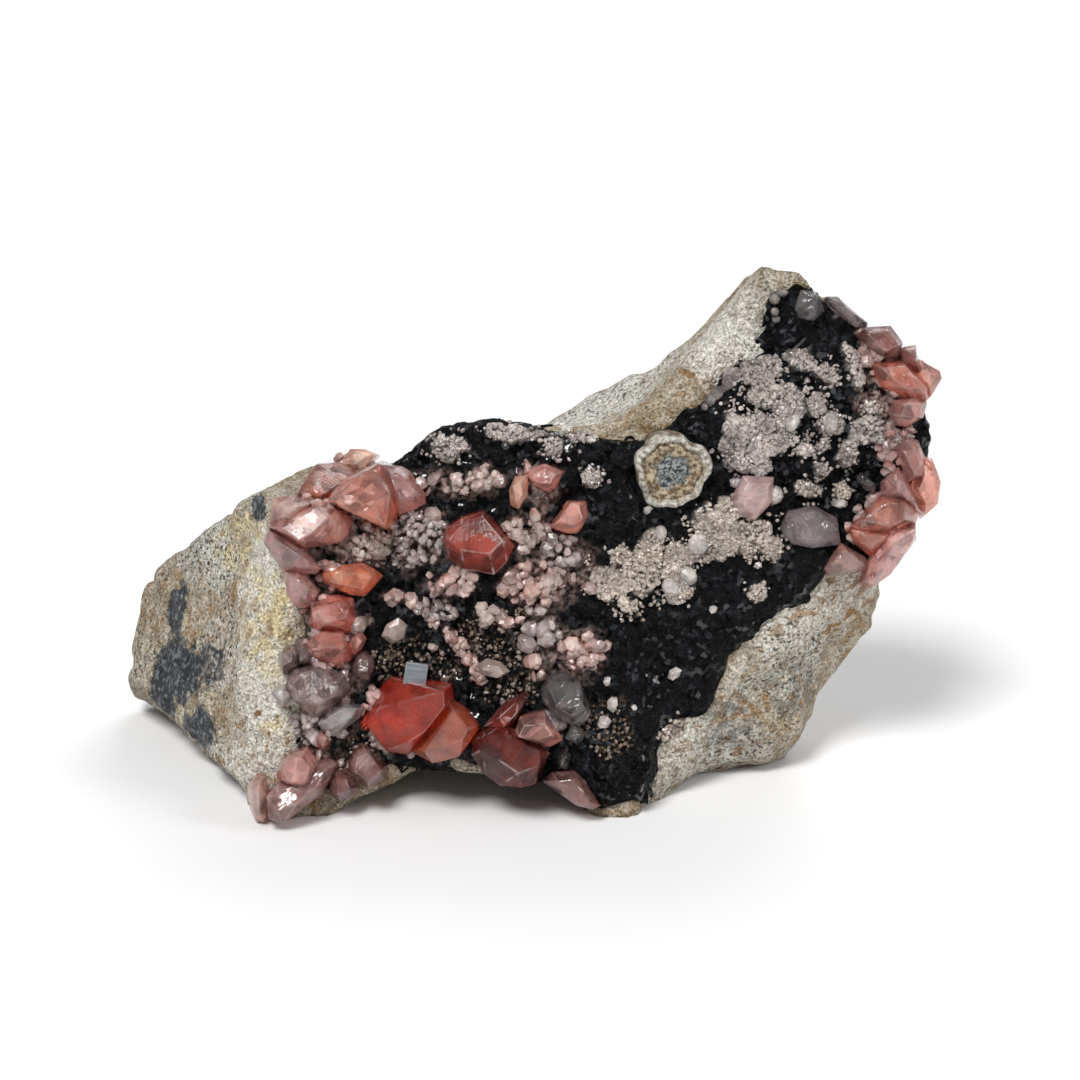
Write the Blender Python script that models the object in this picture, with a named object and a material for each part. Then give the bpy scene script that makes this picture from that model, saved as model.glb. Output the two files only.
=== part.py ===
"""Rhodochrosite on matrix: a hand specimen of pale rock, 92 mm across, with a black oxide
crust over its front and pink to red crystals grown on that crust.

The model is in metres with +Z up. The origin is on the resting surface, under the
middle of the specimen. Every shape is worked out in millimetres first.
"""
import math

import bmesh
import bpy
import numpy as np
from mathutils import Matrix

MM = 0.001

# Driving dimensions, in millimetres.
HEART = np.array([2.0, 3.0, 20.0])      # a point well inside the rock, from which its skin is seen whole
REACH = np.array([46.0, 24.0, 30.0])    # rough half sizes of the rock, to spread its points evenly
LONGEST_RAY = 60.0                      # no part of the skin is further from the heart
ROCK_GRID = 44                          # cells along each side of the six grids of the rock's skin
ROCK_FACES = 1500                       # triangles left once the rock's skin is thinned
CRUST_FACES = 720                       # the same on the crust's inner and outer skins
CUTTER_FACES = 800                      # the same on a skin that only cuts
LOWEST = 0.25                           # crystals stop this far above the resting surface
FLAT_BASE = 0.2                         # points of the rock below this height lie on the resting surface
MIDDLE = np.array([-0.03, 1.55, 0.0])   # middle of the specimen's base as laid out, which becomes the origin
DOUBLED = 0.002                         # points closer than this are one
LEAST_BODY = 20                         # points in the smallest body kept beside a larger one
CRUST_THICKNESS = 1.2
GAP = 0.35                              # clearance between touching pieces
SLACK = 0.22                            # added to it where a coarse skin cuts, for its flat triangles
SINK = 4.5                              # how deep a crystal's root reaches under the surface it stands on
ROOT_SPREAD = 1.15                      # a crystal's root over its outline, so that neighbours grow together
STEEPEST = 0.8                          # most that a crystal leans with the surface it stands on
SLOPE_STEP = 2.5                        # how far round a place its slope is measured
EDGE_ROUND = 1.2                        # how wide the edges between broken faces are worn
JOIN_ROUND = 3.5                        # how softly the blocks run into each other

# The rock's broken faces, block by block: (outward direction, distance from the origin along it).
RIGHT_SLAB = (
    ((0.12, -0.98, 0.19), 12.6),        # front face, which carries the black crust
    ((-0.58, 0.03, 0.81), 27.8),        # pale top, rising to the peak
    ((-0.48, 0.43, 0.77), 32.6),        # back rim of the top
    ((0.50, 0.35, 0.79), 58.6),         # peak's right shoulder
    ((0.99, 0.05, -0.11), 37.0),        # right end
    ((0.85, 0.05, -0.52), 25.0),        # underside on the right
    ((0.61, -0.70, -0.38), 15.4),       # pale flank below the black face
    ((0.12, 0.95, 0.28), 22.5),         # back
    ((0.66, 0.74, 0.12), 35.5),         # back on the right
    ((0.30, 0.80, -0.52), 15.5),        # back, undercut near the base
    ((-0.95, 0.20, -0.10), 4.0),        # inner side
    ((0.00, 0.00, -1.0), 0.5),          # base
)
PEAK = (
    ((0.12, -0.98, 0.19), 12.6),        # front
    ((-0.84, 0.06, 0.54), 9.6),         # steep left side
    ((0.50, 0.35, 0.79), 58.6),         # right shoulder
    ((-0.05, 0.80, 0.60), 36.5),        # back
    ((0.99, 0.05, -0.11), 36.0),        # right end
    ((0.00, 0.00, -1.0), -40.0),        # inner side
)
MIDDLE_BLOCK = (
    ((-0.05, -0.96, 0.25), 12.4),       # front, which carries the crystals
    ((-0.66, 0.25, 0.72), 33.2),        # upper shoulder
    ((-0.05, 0.38, 0.92), 36.1),        # top
    ((-0.20, 0.90, 0.38), 23.0),        # back
    ((0.10, 0.98, -0.10), 18.5),        # back, lower
    ((0.95, 0.00, 0.10), 12.0),         # inner side on the right
    ((-0.95, 0.00, 0.00), 30.0),        # inner side on the left
    ((0.00, 0.00, -1.0), 0.5),          # base
)
LEFT_END = (
    ((-0.42, -0.87, 0.26), 24.4),       # pale band beside the crystals
    ((-0.80, -0.54, 0.27), 32.6),       # left face, with the dark stain
    ((-0.98, 0.15, 0.12), 47.4),        # left end
    ((-0.91, 0.17, 0.37), 50.8),        # upper left
    ((-0.55, 0.34, 0.76), 41.2),        # shoulder
    ((0.40, -0.88, 0.26), 3.6),         # inner side, under the crystals
    ((0.35, 0.00, 0.94), 21.6),         # inner side at the top
    ((-0.62, -0.38, -0.68), 21.5),      # undercut below the left face
    ((-0.60, 0.78, 0.18), 40.5),        # back on the left
    ((-0.10, 0.97, 0.20), 21.5),        # back
    ((0.90, 0.00, 0.00), -6.0),         # inner side, inside the middle
    ((0.00, 0.00, -1.0), 0.5),          # base
)
BACK_FOOT = ((23, 3, 8), (10, 9, 9))    # a swelling under the right flank: centre and half sizes
VUG = ((-10, -13, 20), (8, 7, 10))      # the open pocket among the crystals
BACK_HOLLOW = ((2, 33, 24), (19, 15, 15))
ARCH_WIDTH = 27.0                       # the hollow under the specimen, between its feet
ARCH_HEIGHT = 4.0
ARCH_MIDDLE = -5.5
ARCH_FALL = 0.07                        # how fast the hollow runs out towards the back
LUMPS = ((10.0, 0.8, 3), (5.0, 0.3, 4))    # size, height and seed of the rock's lumps

# The front is laid out on a drawing plane that faces it from 20 degrees above the horizon.
TILT = math.radians(20)
ACROSS = np.array([1.0, 0.0, 0.0])
UP = np.array([0.0, math.sin(TILT), math.cos(TILT)])
AWAY = np.array([0.0, math.cos(TILT), -math.sin(TILT)])

# The black crust's outline on the drawing plane, from the top left round the right.
CRUST_OUTLINE = (
    (-16, 36), (-15, 37), (-11.5, 39.5), (-3.5, 40.5), (1.5, 39.5), (3, 37.5), (7.5, 36), (11.5, 36.5),
    (13.5, 38), (17.5, 40.5), (20, 42.5), (22, 44.5), (26, 45), (28, 47), (25.5, 49.5), (26, 52), (28, 53),
    (32, 50.5), (37, 47.5), (41.5, 42), (44, 35.5), (43.5, 27.5), (39, 22), (33, 21.5), (30.5, 19),
    (27, 16.5), (24, 14), (22.5, 12.5), (22, 10), (20.5, 7.5), (19.5, 6.5), (17.5, 6), (15, 5),
    (14.5, 3.5), (14.5, 1.5), (14, -0.5), (13, -3), (8.5, -3.5), (5, -2.5), (1, -1.5), (-6, -0.5),
    (-12.5, -1), (-18, -2), (-26, -2.5), (-27, 7.5), (-25.5, 14.5), (-24, 18.5), (-25.5, 23), (-26, 27.5),
    (-22.5, 29.5), (-19, 32),
)
CRUST_BACK = -7.3                       # how far back along the line of sight the crust reaches at the base
CRUST_BACK_SLOPE = -0.086               # and how much further per millimetre up

# The nodule: a turned profile of (radius, height), from its foot in to the middle of its face.
NODULE_PLACE = (15.9, 33)
NODULE_STEPS = 14
NODULE_PROFILE = ((3.6, -1.5), (4.1, 0.6), (3.6, 1.3), (2.9, 1.5), (2.5, 1.1), (1.5, 1.2), (0.6, 1.3))
CUBE_PLACE = (-11.5, 10.8)
CUBE_SIZE = 2.4
CUBE_TURN = -8

# Crystals grown together, by node. Each crystal is its outline on the drawing plane and its front face,
# whose points are (across, up, rise above the ground). Its other faces run between the two.
CRYSTALS = {
    "crystals_upper_left": (
        (((-24.6, 30.2), (-23.4, 32.4), (-22.8, 33.6), (-20.8, 33.8), (-19.4, 33.2), (-18.6, 32.4),
          (-19.6, 31), (-20.8, 29.4), (-22.6, 29.6)),
         ((-21.4, 33, 2.4), (-19.2, 32, 2), (-21.6, 30.2, 3), (-22.8, 31.2, 1.6))),
        (((-19.8, 34.8), (-19.6, 35.6), (-18.2, 35.6), (-16.8, 35), (-17, 34.6), (-18.2, 33.2),
          (-19.2, 33.2), (-20.6, 33.8)),
         ((-19, 35, 1.6), (-17.6, 34.8, 1.6), (-18.8, 33.8, 1.8))),
        (((-20.8, 29.4), (-20.4, 30.4), (-19.2, 31.8), (-17.8, 32.6), (-15.6, 33.6), (-14.4, 33),
          (-13.6, 30), (-13.6, 28), (-14.6, 26.6), (-16, 27.2), (-17.8, 27.8)),
         ((-17.8, 32, 3.6), (-14.8, 31.4, 4), (-14, 30.2, 4), (-16, 28.8, 5), (-17.8, 28, 4),
          (-20, 29.4, 3))),
        (((-15.2, 33.4), (-14.4, 33.4), (-13, 33.2), (-12, 32.6), (-10.4, 30.2), (-10.4, 29.2),
          (-11.8, 28.4), (-13.2, 28), (-14, 29.4)),
         ((-14.2, 32.6, 2.4), (-12.2, 31.8, 2.2), (-11.4, 30, 2), (-13.2, 29.8, 3))),
        (((-26.8, 28.6), (-26.6, 29.8), (-25, 30), (-23.4, 29.4), (-22.4, 29.2), (-24, 28), (-24.6, 27),
          (-26, 27), (-27, 27.2)),
         ((-25.6, 29, 2), (-23.8, 28.8, 2.2), (-24.8, 28, 2.4))),
        (((-26.8, 27.2), (-24, 27.6), (-22.2, 29.2), (-20.4, 28.8), (-19.2, 28.4), (-18.4, 27.4),
          (-18.6, 26), (-19.6, 25), (-21.4, 24.8), (-23.4, 24.4), (-24.6, 25.2), (-26.8, 26.6)),
         ((-23.4, 27.8, 3), (-21.8, 28.8, 2.4), (-20.6, 27.6, 3.4), (-22.2, 26, 4), (-23.6, 25.2, 3),
          (-25.6, 26.6, 2))),
        (((-27.6, 25), (-27, 26.4), (-26, 25.8), (-23.4, 24.4), (-22.4, 23.4), (-21.4, 22.2),
          (-22.2, 21.6), (-23.6, 22.4), (-25.6, 22), (-26.8, 23.8)),
         ((-26, 25.2, 2.4), (-23.8, 23.8, 3), (-23.2, 22.6, 2.4), (-25.6, 23, 2))),
    ),
    "crystals_left_side": (
        (((-25.4, 22), (-24, 22), (-22.6, 21), (-21.8, 19.8), (-22.2, 18.8), (-23.4, 18), (-24.4, 18.2),
          (-25.2, 19.6)),
         ((-23.8, 21, 2.4), (-22.8, 20.2, 2.8), (-23, 19, 2.4), (-24.2, 19.4, 2))),
        (((-21.6, 21.8), (-19.2, 22.6), (-17.2, 22.8), (-16, 22.2), (-15, 21.4), (-16, 20.2), (-17, 19.2),
          (-18.6, 19.4), (-19.8, 20), (-21.2, 20.6)),
         ((-19.2, 22, 2), (-17.2, 21.4, 3), (-16, 21.4, 2.4), (-17, 20, 2.4), (-18.6, 20.4, 2.8),
          (-20.4, 20.8, 2))),
        (((-23, 16.4), (-22.6, 18.2), (-21.4, 19.2), (-19.8, 19.4), (-18.2, 19), (-18, 16.8),
          (-18.4, 15.4), (-19.8, 15.8), (-22.2, 15.6)),
         ((-22, 17.8, 3), (-19.8, 18.6, 2.4), (-18.8, 17, 2.8), (-21, 16.4, 3.6))),
        (((-23.2, 14), (-22.6, 15), (-21.2, 15.8), (-19.2, 15.6), (-18.4, 14.4), (-18.4, 12.4),
          (-19.4, 11.4), (-22.4, 12.4)),
         ((-22.4, 13.6, 3.6), (-19, 14, 3.6), (-19.4, 15.2, 2.4), (-21.2, 15.4, 2.4))),
        (((-18.4, 14.8), (-17.4, 15.4), (-16.8, 14.6), (-17.4, 13.4), (-18.2, 12.8), (-18.8, 13.8)),
         ((-17.8, 14.8, 1.8), (-17.2, 14.4, 1.8), (-17.8, 13.6, 2.2))),
        (((-26.2, 12.6), (-25.6, 13.8), (-24.6, 14), (-24, 13.2), (-24.2, 11.8), (-25.6, 10.8),
          (-26, 11.6)),
         ((-25.6, 13.4, 2), (-24.6, 13.4, 2), (-24.6, 12.4, 2.4), (-25.6, 11.8, 2))),
        (((-24.2, 13.8), (-23.4, 14.2), (-22.4, 13.2), (-22.6, 12), (-24, 11.8)),
         ((-23.6, 13.4, 1.8), (-23, 12.8, 1.8), (-23.8, 12.4, 2))),
        (((-25.4, 9.4), (-25.2, 10.6), (-24.6, 11.4), (-23, 11.8), (-21.4, 11.8), (-19.2, 10.8),
          (-18.6, 9.4), (-19.4, 8.2), (-20.6, 7.2), (-22.2, 5.8), (-23.4, 6.8), (-24.8, 8.2)),
         ((-23.8, 11, 2.4), (-21.8, 11.4, 2.4), (-19.8, 10.2, 3), (-19.8, 8.8, 3), (-21.6, 7.8, 3.6),
          (-23.6, 8.2, 3.6), (-24.4, 9.6, 2.4))),
        (((-22.2, 5.8), (-20.6, 7.2), (-19.2, 7.8), (-17.4, 7.4), (-17, 7), (-17.6, 6), (-20.4, 4),
          (-21.6, 4.6)),
         ((-21.4, 5.8, 2), (-19.2, 7.2, 2.4), (-17.8, 7.2, 2.4), (-18.4, 6.2, 2.6), (-20.6, 5, 2.2))),
        (((-27, 8.8), (-26.2, 9.6), (-25.4, 9.8), (-24.8, 8.6), (-25.6, 7.4), (-26.2, 7.8)),
         ((-26.2, 9, 1.4), (-25.6, 9.2, 1.4), (-25.6, 8.2, 1.6))),
        (((-18.4, 11.8), (-17.8, 13), (-17, 13.4), (-16.2, 12.6), (-16, 11.6), (-16.6, 10.2),
          (-17.6, 10.2), (-18.4, 11)),
         ((-17.6, 12.4, 1.8), (-16.6, 12.2, 2), (-16.6, 11.2, 2), (-17.6, 11, 2))),
    ),
    "crystals_left_foot": (
        (((-26.4, 0.2), (-26, 1.6), (-24.6, 2.4), (-23.2, 3), (-22.4, 2), (-21.8, 1), (-22.6, -0.8),
          (-23.8, -1.4), (-25.2, -1), (-26.2, -0.4)),
         ((-25.6, 1.4, 3.4), (-23.6, 2.2, 3.4), (-22.6, 1, 3.4), (-23.2, -0.6, 3.4), (-25, -0.4, 3.4))),
        (((-29.6, -1.2), (-28.8, -0.4), (-28, -0.6), (-27.4, -2.2), (-27.6, -4.4), (-28, -5.2),
          (-28.8, -5.2), (-29.4, -3.8)),
         ((-28.8, -1.4, 2), (-28.2, -1.8, 2), (-28.2, -4, 2), (-28.8, -3.8, 1.8))),
        (((-27.4, -2.2), (-26.2, -0.8), (-24, -0.4), (-21.2, 1.8), (-19.8, 1.2), (-20.4, -0.2),
          (-21.8, -2.2), (-24, -4), (-25.8, -5.2), (-27.2, -4.6)),
         ((-26.2, -2, 2), (-24, -1.4, 2.4), (-21, 0.8, 2.4), (-22, -1.2, 3), (-24, -2.8, 3),
          (-26, -3.8, 2))),
        (((-20.8, -0.8), (-20.2, 0.4), (-19.2, 0.6), (-18.2, -0.2), (-17.8, -1.6), (-18.6, -2.8),
          (-19.8, -2.8), (-20.8, -2.2)),
         ((-20, -0.4, 2), (-19, -0.4, 2), (-18.6, -1.6, 2.2), (-19.8, -2, 2))),
        (((-18.8, 1.4), (-18.4, 2.2), (-17.4, 3.4), (-16.2, 2.6), (-14.6, 0.8), (-15, -0.6), (-16.6, -1.6),
          (-17.8, -1), (-18.8, 0.4)),
         ((-17.8, 1.8, 3), (-16.6, 2.4, 2.8), (-15.2, 0.6, 2.8), (-16.6, -0.6, 3), (-18, 0.4, 2.8))),
        (((-22.4, 4), (-21.8, 4.8), (-20.8, 4.2), (-20.6, 3.2), (-21.4, 2.4), (-22.2, 3)),
         ((-21.8, 4, 1.8), (-21, 4, 1.8), (-21.4, 3, 2))),
    ),
    "red_crystals_front": (
        (((-17.8, 5.4), (-16, 9), (-14.2, 10.4), (-10.4, 9.8), (-8, 9.6), (-7.6, 7.6), (-9, 5.4),
          (-11, 3.4), (-12.4, 2), (-14.6, 2), (-16, 3.4)),
         ((-17, 5.4, 3), (-15.4, 7.2, 4), (-12.4, 8.4, 4.6), (-8.4, 9.2, 4), (-8.2, 7.6, 4.4),
          (-10.4, 4.8, 5), (-12.6, 3.4, 5), (-14.6, 2.6, 4))),
        (((-7.8, 8), (-6.2, 7), (-4.8, 5.4), (-4.8, 4.8), (-6, 4.2), (-6.8, 2), (-9.6, 1.2), (-11, 1.8),
          (-12, 2.4), (-11, 4.2)),
         ((-7.4, 7.2, 3), (-5.8, 5.2, 2.6), (-6.4, 4, 3), (-9.2, 3.6, 3.8), (-10.4, 2.6, 3))),
    ),
    "dark_red_crystal_upper": (
        (((-8.6, 25.2), (-8, 26.6), (-6.4, 27.6), (-4, 28.4), (-3, 27.4), (-0.8, 24.8), (-1.6, 23),
          (-3, 21.6), (-6.2, 22.2), (-7.8, 23.4)),
         ((-6.4, 27, 3), (-4.2, 27.8, 3), (-2, 25.2, 3.6), (-3.4, 23.8, 4.4), (-6.4, 24.2, 4),
          (-8, 25.4, 2.6))),
    ),
    "dark_red_crystals_lower": (
        (((-5.4, 4), (-4.2, 5.2), (-1.8, 5.8), (-0.4, 5), (3, 2.4), (2.4, 0.8), (1.4, -1), (-0.2, -1.4),
          (-2.4, -1.2), (-4, 0), (-5.4, 2.2)),
         ((-4, 4.4, 4), (-1.6, 4.6, 4.4), (1.8, 2.8, 4), (1.8, 1.2, 4), (-0.4, 0.4, 4), (-2.4, 1.6, 5),
          (-4.2, 3, 4.2))),
        (((-4.2, 5.2), (-3.2, 6.4), (-1.8, 8), (0.4, 9), (0.8, 8.6), (-0.2, 6.6), (-1, 5)),
         ((-2.4, 6.4, 2.4), (-0.4, 8.2, 2), (-0.6, 6.8, 2.6), (-2, 5.2, 3.2))),
        (((-1.2, 5), (-0.4, 6.4), (2.4, 7), (3.8, 5), (4.4, 3.8), (2.8, 3), (-0.2, 3.6)),
         ((0.2, 5.6, 5), (2.4, 5.8, 4.4), (3.2, 4.6, 4), (1.8, 4, 4.6), (-0.4, 4.4, 5))),
    ),
    "pink_crystal_toe": (
        (((2.2, -0.8), (3.2, 0.2), (5.6, 0.4), (6.8, -0.8), (7.2, -2), (8.4, -3.4), (7.6, -3.8),
          (5.8, -3.4), (4, -2)),
         ((3.8, -0.6, 2.2), (5.4, -0.4, 2.2), (6.4, -1.6, 2.2), (7.2, -3, 1.4), (5.8, -2.8, 2),
          (4.4, -1.6, 2.2))),
    ),
    "clear_crystals_lower": (
        (((2, 9.4), (2.8, 10.8), (4.8, 11), (6.2, 10), (7, 8.2), (7.4, 6.8), (6.6, 5.4), (5.2, 5.4),
          (3.8, 6.2), (2.2, 7.8)),
         ((2.8, 9.6, 3), (4.6, 10.2, 2.8), (6, 9.2, 3), (6.6, 7.2, 3), (5.4, 6.4, 3.6), (3.8, 7.4, 3.6))),
        (((3.8, 2), (4.8, 3.2), (5.2, 2), (4.8, 0.6), (3.8, 0.6)),
         ((4.2, 2.2, 1.6), (4.8, 2, 1.6), (4.2, 1, 1.6))),
        (((4.6, 4), (5.4, 5.8), (6.6, 4.8), (6.6, 3.8), (5.8, 3.2)),
         ((5.2, 4.4, 1.6), (6.2, 4.4, 1.6), (5.6, 3.6, 1.6))),
    ),
    "pink_crystals_upper": (
        (((0.4, 32.2), (1.2, 33), (2.4, 33.4), (4.4, 32.6), (4, 31.6), (3.6, 30.8), (2.8, 30.4),
          (1.2, 31)),
         ((1.2, 32.2, 2.6), (2.4, 32.8, 2.4), (3.6, 32.2, 2.4), (3, 31.2, 3), (1.4, 31.4, 3))),
        (((0.2, 33.8), (0.4, 34), (1, 33.2), (1.2, 32.2), (0.2, 32.2)),
         ((0.4, 33.4, 1.2), (0.6, 32.6, 1.6), (0.4, 32.6, 1.4))),
        (((-1.4, 30.6), (-0.8, 32), (0.6, 32.2), (0.6, 30.2), (0.2, 29.4), (-0.4, 28.6), (-1.2, 29)),
         ((-1, 31, 2), (-0.2, 31.4, 2), (0, 30, 2.2), (-0.6, 29.4, 2))),
    ),
    "pink_crystal_right": (
        (((3, 26.8), (3.8, 28), (4.6, 29.4), (5.6, 29.6), (6.8, 29.4), (7, 27.8), (6.4, 26.6), (5.8, 26),
          (4.8, 26), (3.6, 26.4)),
         ((3.8, 27.2, 3), (4.8, 28.2, 4), (5.6, 26.8, 3.6), (6.4, 27.4, 3), (6, 28.8, 3), (5.2, 29.2, 3))),
    ),
    "crystals_right_upper": (
        (((35.4, 47.4), (36.2, 48), (39.4, 48.2), (40.8, 46.4), (40.2, 44.8), (38.2, 44.8), (37.2, 45.8)),
         ((36.8, 47.2, 2.2), (39, 47.6, 2.2), (40, 46, 2.6), (38.6, 45.4, 3))),
        (((40.4, 45.6), (41, 46), (42.2, 46.2), (42.4, 44.8), (42.6, 43.2), (40.8, 44.2)),
         ((41, 45.6, 1.8), (42, 45.6, 1.6), (42, 44.4, 2))),
        (((37.4, 44.2), (40.4, 44.6), (41.2, 44.2), (43.8, 41.8), (43.4, 40.2), (42.2, 40), (40.4, 41),
          (38.2, 41.8)),
         ((38.2, 43.6, 2.4), (40.8, 43.8, 2.6), (43, 41.6, 2.2), (40.8, 41.4, 3.2))),
        (((42.2, 44.2), (42.6, 44.6), (44.8, 43.4), (45, 42.6), (43.8, 40.6), (42.6, 41.8)),
         ((42.8, 43.8, 1.2), (44.4, 43.2, 1), (43.6, 41.6, 1.4))),
        (((39.8, 40.2), (42.2, 40.8), (43.4, 40), (43, 38.4), (41.2, 37.4), (40, 37.6), (39.2, 38.8)),
         ((40.8, 39.8, 2.4), (42.6, 39.8, 2), (42.2, 38.4, 2), (40.4, 38.4, 2.4))),
    ),
    "crystals_right_lower": (
        (((40, 35.2), (41.2, 36.2), (42.4, 36), (43.2, 34.4), (43.4, 32.2), (41.4, 31.4), (40.8, 33)),
         ((40.8, 34.6, 2.2), (42.2, 35.2, 2), (42.8, 33.8, 2), (42, 32.2, 2.6))),
        (((43.2, 34.4), (44.2, 34), (45.2, 31.6), (45, 29.2), (43.8, 28), (42.6, 29.6), (42, 31.4),
          (42.6, 33)),
         ((43.4, 32.4, 1.8), (44.4, 32.2, 1.6), (44.6, 30, 1.6), (43.6, 29, 2), (42.8, 30.6, 2.2))),
        (((38.8, 31.6), (40.4, 33.2), (41.4, 32.2), (43.4, 28.4), (42.6, 27.8), (38.8, 30)),
         ((40, 31.8, 2.4), (41, 31.4, 2.4), (42.6, 29, 2), (40.4, 30.4, 2.6))),
        (((35.4, 26.8), (38.8, 30.2), (41.2, 30), (43.2, 28.4), (42.6, 26.8), (40, 25.6), (36.8, 25.8)),
         ((36.4, 27.4, 3), (39, 29.2, 3.2), (41, 29.2, 3.2), (41, 27.4, 3.6), (39.4, 26.8, 3.6))),
        (((35, 26.6), (36.8, 27), (40, 26.6), (40, 24.6), (37.8, 23.4), (35.8, 25)),
         ((36.6, 26, 2.4), (39, 25.6, 2.6), (37.8, 24.4, 2.2))),
        (((37.2, 20.8), (37.6, 23.2), (40, 26.4), (42.8, 27.2), (43, 25.2), (41.6, 23.4), (40.2, 21.6),
          (38.2, 20.2)),
         ((38.6, 23, 2.4), (40.4, 25.4, 3), (42.4, 26.4, 2.6), (42.2, 25, 2.4), (40.4, 23, 2.6),
          (38.2, 21.2, 2))),
        (((32.6, 22.2), (34.4, 25), (37.2, 23.4), (37.8, 22.2), (35.4, 21.8), (33.2, 21.4)),
         ((33.8, 23, 1.6), (34.8, 24.2, 1.6), (36.8, 22.6, 1.6))),
    ),
    "pale_crystals_rim": (
        (((32.4, 51.2), (33.6, 51.2), (35.8, 49.6), (37, 48.4), (35.6, 48), (34, 49.2), (32.8, 50.4)),
         ((33.2, 50.8, 1.2), (34.2, 50.2, 1.6), (36, 48.8, 1.6))),
        (((29, 50), (29.6, 51.8), (31.4, 51.6), (32.2, 49.6), (31, 48.6), (29.4, 49)),
         ((29.8, 50.4, 1.6), (30.8, 50.8, 1.6), (31, 49.6, 1.8), (30, 49.6, 1.8))),
    ),
    "lilac_plate_right": (
        (((27.8, 26.4), (28.6, 28.4), (31.4, 29), (34, 27.6), (34.4, 24.8), (31.4, 24.4), (29.2, 24.8)),
         ((28.6, 26.6, 1.6), (31, 28.2, 1.4), (33.4, 27, 1.4), (33.2, 25.2, 1.6), (29.6, 25.4, 1.6))),
    ),
    "mauve_plate_middle": (
        (((22.2, 29.2), (23.6, 32.2), (27, 32), (26.8, 29.2), (25, 27.4), (23, 28)),
         ((23.2, 29.4, 1.4), (24.2, 31.4, 1.2), (26.4, 31.2, 1.2), (26.2, 29.4, 1.4), (24.6, 28.4, 1.6))),
    ),
    "clear_crystal_right": (
        (((36, 32.2), (36.6, 32.6), (38.2, 31.2), (38.2, 30.4), (37.2, 30.6), (36.2, 31.6)),
         ((36.6, 32, 0.8), (37.6, 31.2, 0.8), (37.2, 31, 1))),
    ),
}
CLEAR = ("clear_crystals_lower", "pale_crystals_rim", "lilac_plate_right", "clear_crystal_right")

# Sugary patches and crusts of small crystals: (grain spacing, outline on the drawing plane).
PATCHES = {
    "quartz_patch_upper": (3.3, (
        (22.4, 41), (24, 44), (26.4, 44.4), (29, 44), (30.4, 42), (29.6, 38), (30.4, 35.6), (29, 33),
        (26.4, 34), (24.4, 35.6), (23, 38),
    )),
    "quartz_patch_middle": (3, (
        (18, 26.4), (20, 28.4), (23.6, 29.6), (27, 28), (28, 26), (26.4, 24), (23, 23), (19, 24),
    )),
    "quartz_patch_lower": (3.6, (
        (7, 22), (8.4, 25), (12, 26), (16.4, 25.6), (18.4, 23.6), (18, 20.4), (16, 18.4), (12, 17.6),
        (8.4, 18.4),
    )),
    "quartz_patch_hump": (2.2, (
        (-10.4, 35.6), (-8.4, 37), (-6, 36.4), (-6.4, 34.4), (-8.4, 34),
    )),
    "quartz_patch_right": (2.2, (
        (35, 37.6), (36.4, 40), (39, 38), (40, 36), (38.4, 35), (36.4, 35.6),
    )),
    "quartz_patch_top": (2.2, (
        (31.6, 43), (33.6, 44), (34.4, 41), (34.4, 37), (32.4, 36.4), (31.6, 38.4),
    )),
    "pink_ledge": (2.4, (
        (-11.6, 32.4), (-9, 31.6), (-6, 32.4), (-3, 33), (-1.6, 31.6), (-2.4, 30), (-1.6, 27.6),
        (-3, 27), (-5, 29.6), (-7.6, 29.6), (-10, 29),
    )),
    "small_crystals_left": (3.1, (
        (-14.4, 26.4), (-11.6, 28.4), (-8.4, 27.6), (-8, 23), (-7.4, 20.4), (-9.4, 19.4), (-12.4, 19.8),
        (-14.4, 21.4), (-15, 23),
    )),
    "small_crystals_chain": (2.7, (
        (-16, 14), (-16.4, 16.6), (-14.4, 17.4), (-11.4, 16), (-8.6, 14), (-6, 12.6), (-3, 11), (-2.4, 8.4),
        (-4, 8), (-7, 10), (-10.4, 12.6), (-13, 14),
    )),
    "small_crystals_middle": (3.5, (
        (-3.6, 28.4), (-0.4, 30.4), (2.4, 27.6), (3.6, 23), (6.4, 20), (7.6, 16.4), (4.4, 14.4),
        (2.4, 17.6), (-1, 18.4), (-3, 21), (-1, 25),
    )),
    "small_crystals_lower": (2.7, (
        (1, 13.6), (4, 15.6), (7.6, 15.6), (9, 13), (6.4, 11.6), (3, 10.4), (1.6, 8), (-0.4, 10),
    )),
}


def lattice_noise(points, size, seed):
    """Smooth noise from -1 to 1: random values on a lattice of the given size, blended between its corners."""
    lattice = np.random.default_rng(seed).uniform(-1.0, 1.0, (32, 32, 32))
    cell = points / size
    low = np.floor(cell).astype(int)
    share = cell - low
    share = share * share * (3 - 2 * share)
    total = np.zeros(len(points))
    for corner in np.ndindex(2, 2, 2):
        weight = np.prod(np.where(np.array(corner) == 1, share, 1 - share), axis=1)
        index = (low + corner) % 32
        total += weight * lattice[index[:, 0], index[:, 1], index[:, 2]]
    return total


def smooth_max(a, b, width):
    """The larger of two fields, with the corner between them rounded over the given width."""
    share = np.clip(0.5 + 0.5 * (a - b) / width, 0, 1)
    return b + (a - b) * share + width * share * (1 - share)


def block(points, faces):
    """Distance outside a block bounded by the given broken faces, negative inside it."""
    field = None
    for direction, distance in faces:
        outward = np.array(direction) / np.linalg.norm(direction)
        outside = points @ outward - distance
        field = outside if field is None else smooth_max(field, outside, EDGE_ROUND)
    return field


def ellipsoid(points, centre, half_sizes):
    """Rough distance outside an ellipsoid, negative inside it."""
    return (np.linalg.norm((points - centre) / half_sizes, axis=1) - 1) * min(half_sizes)


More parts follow.
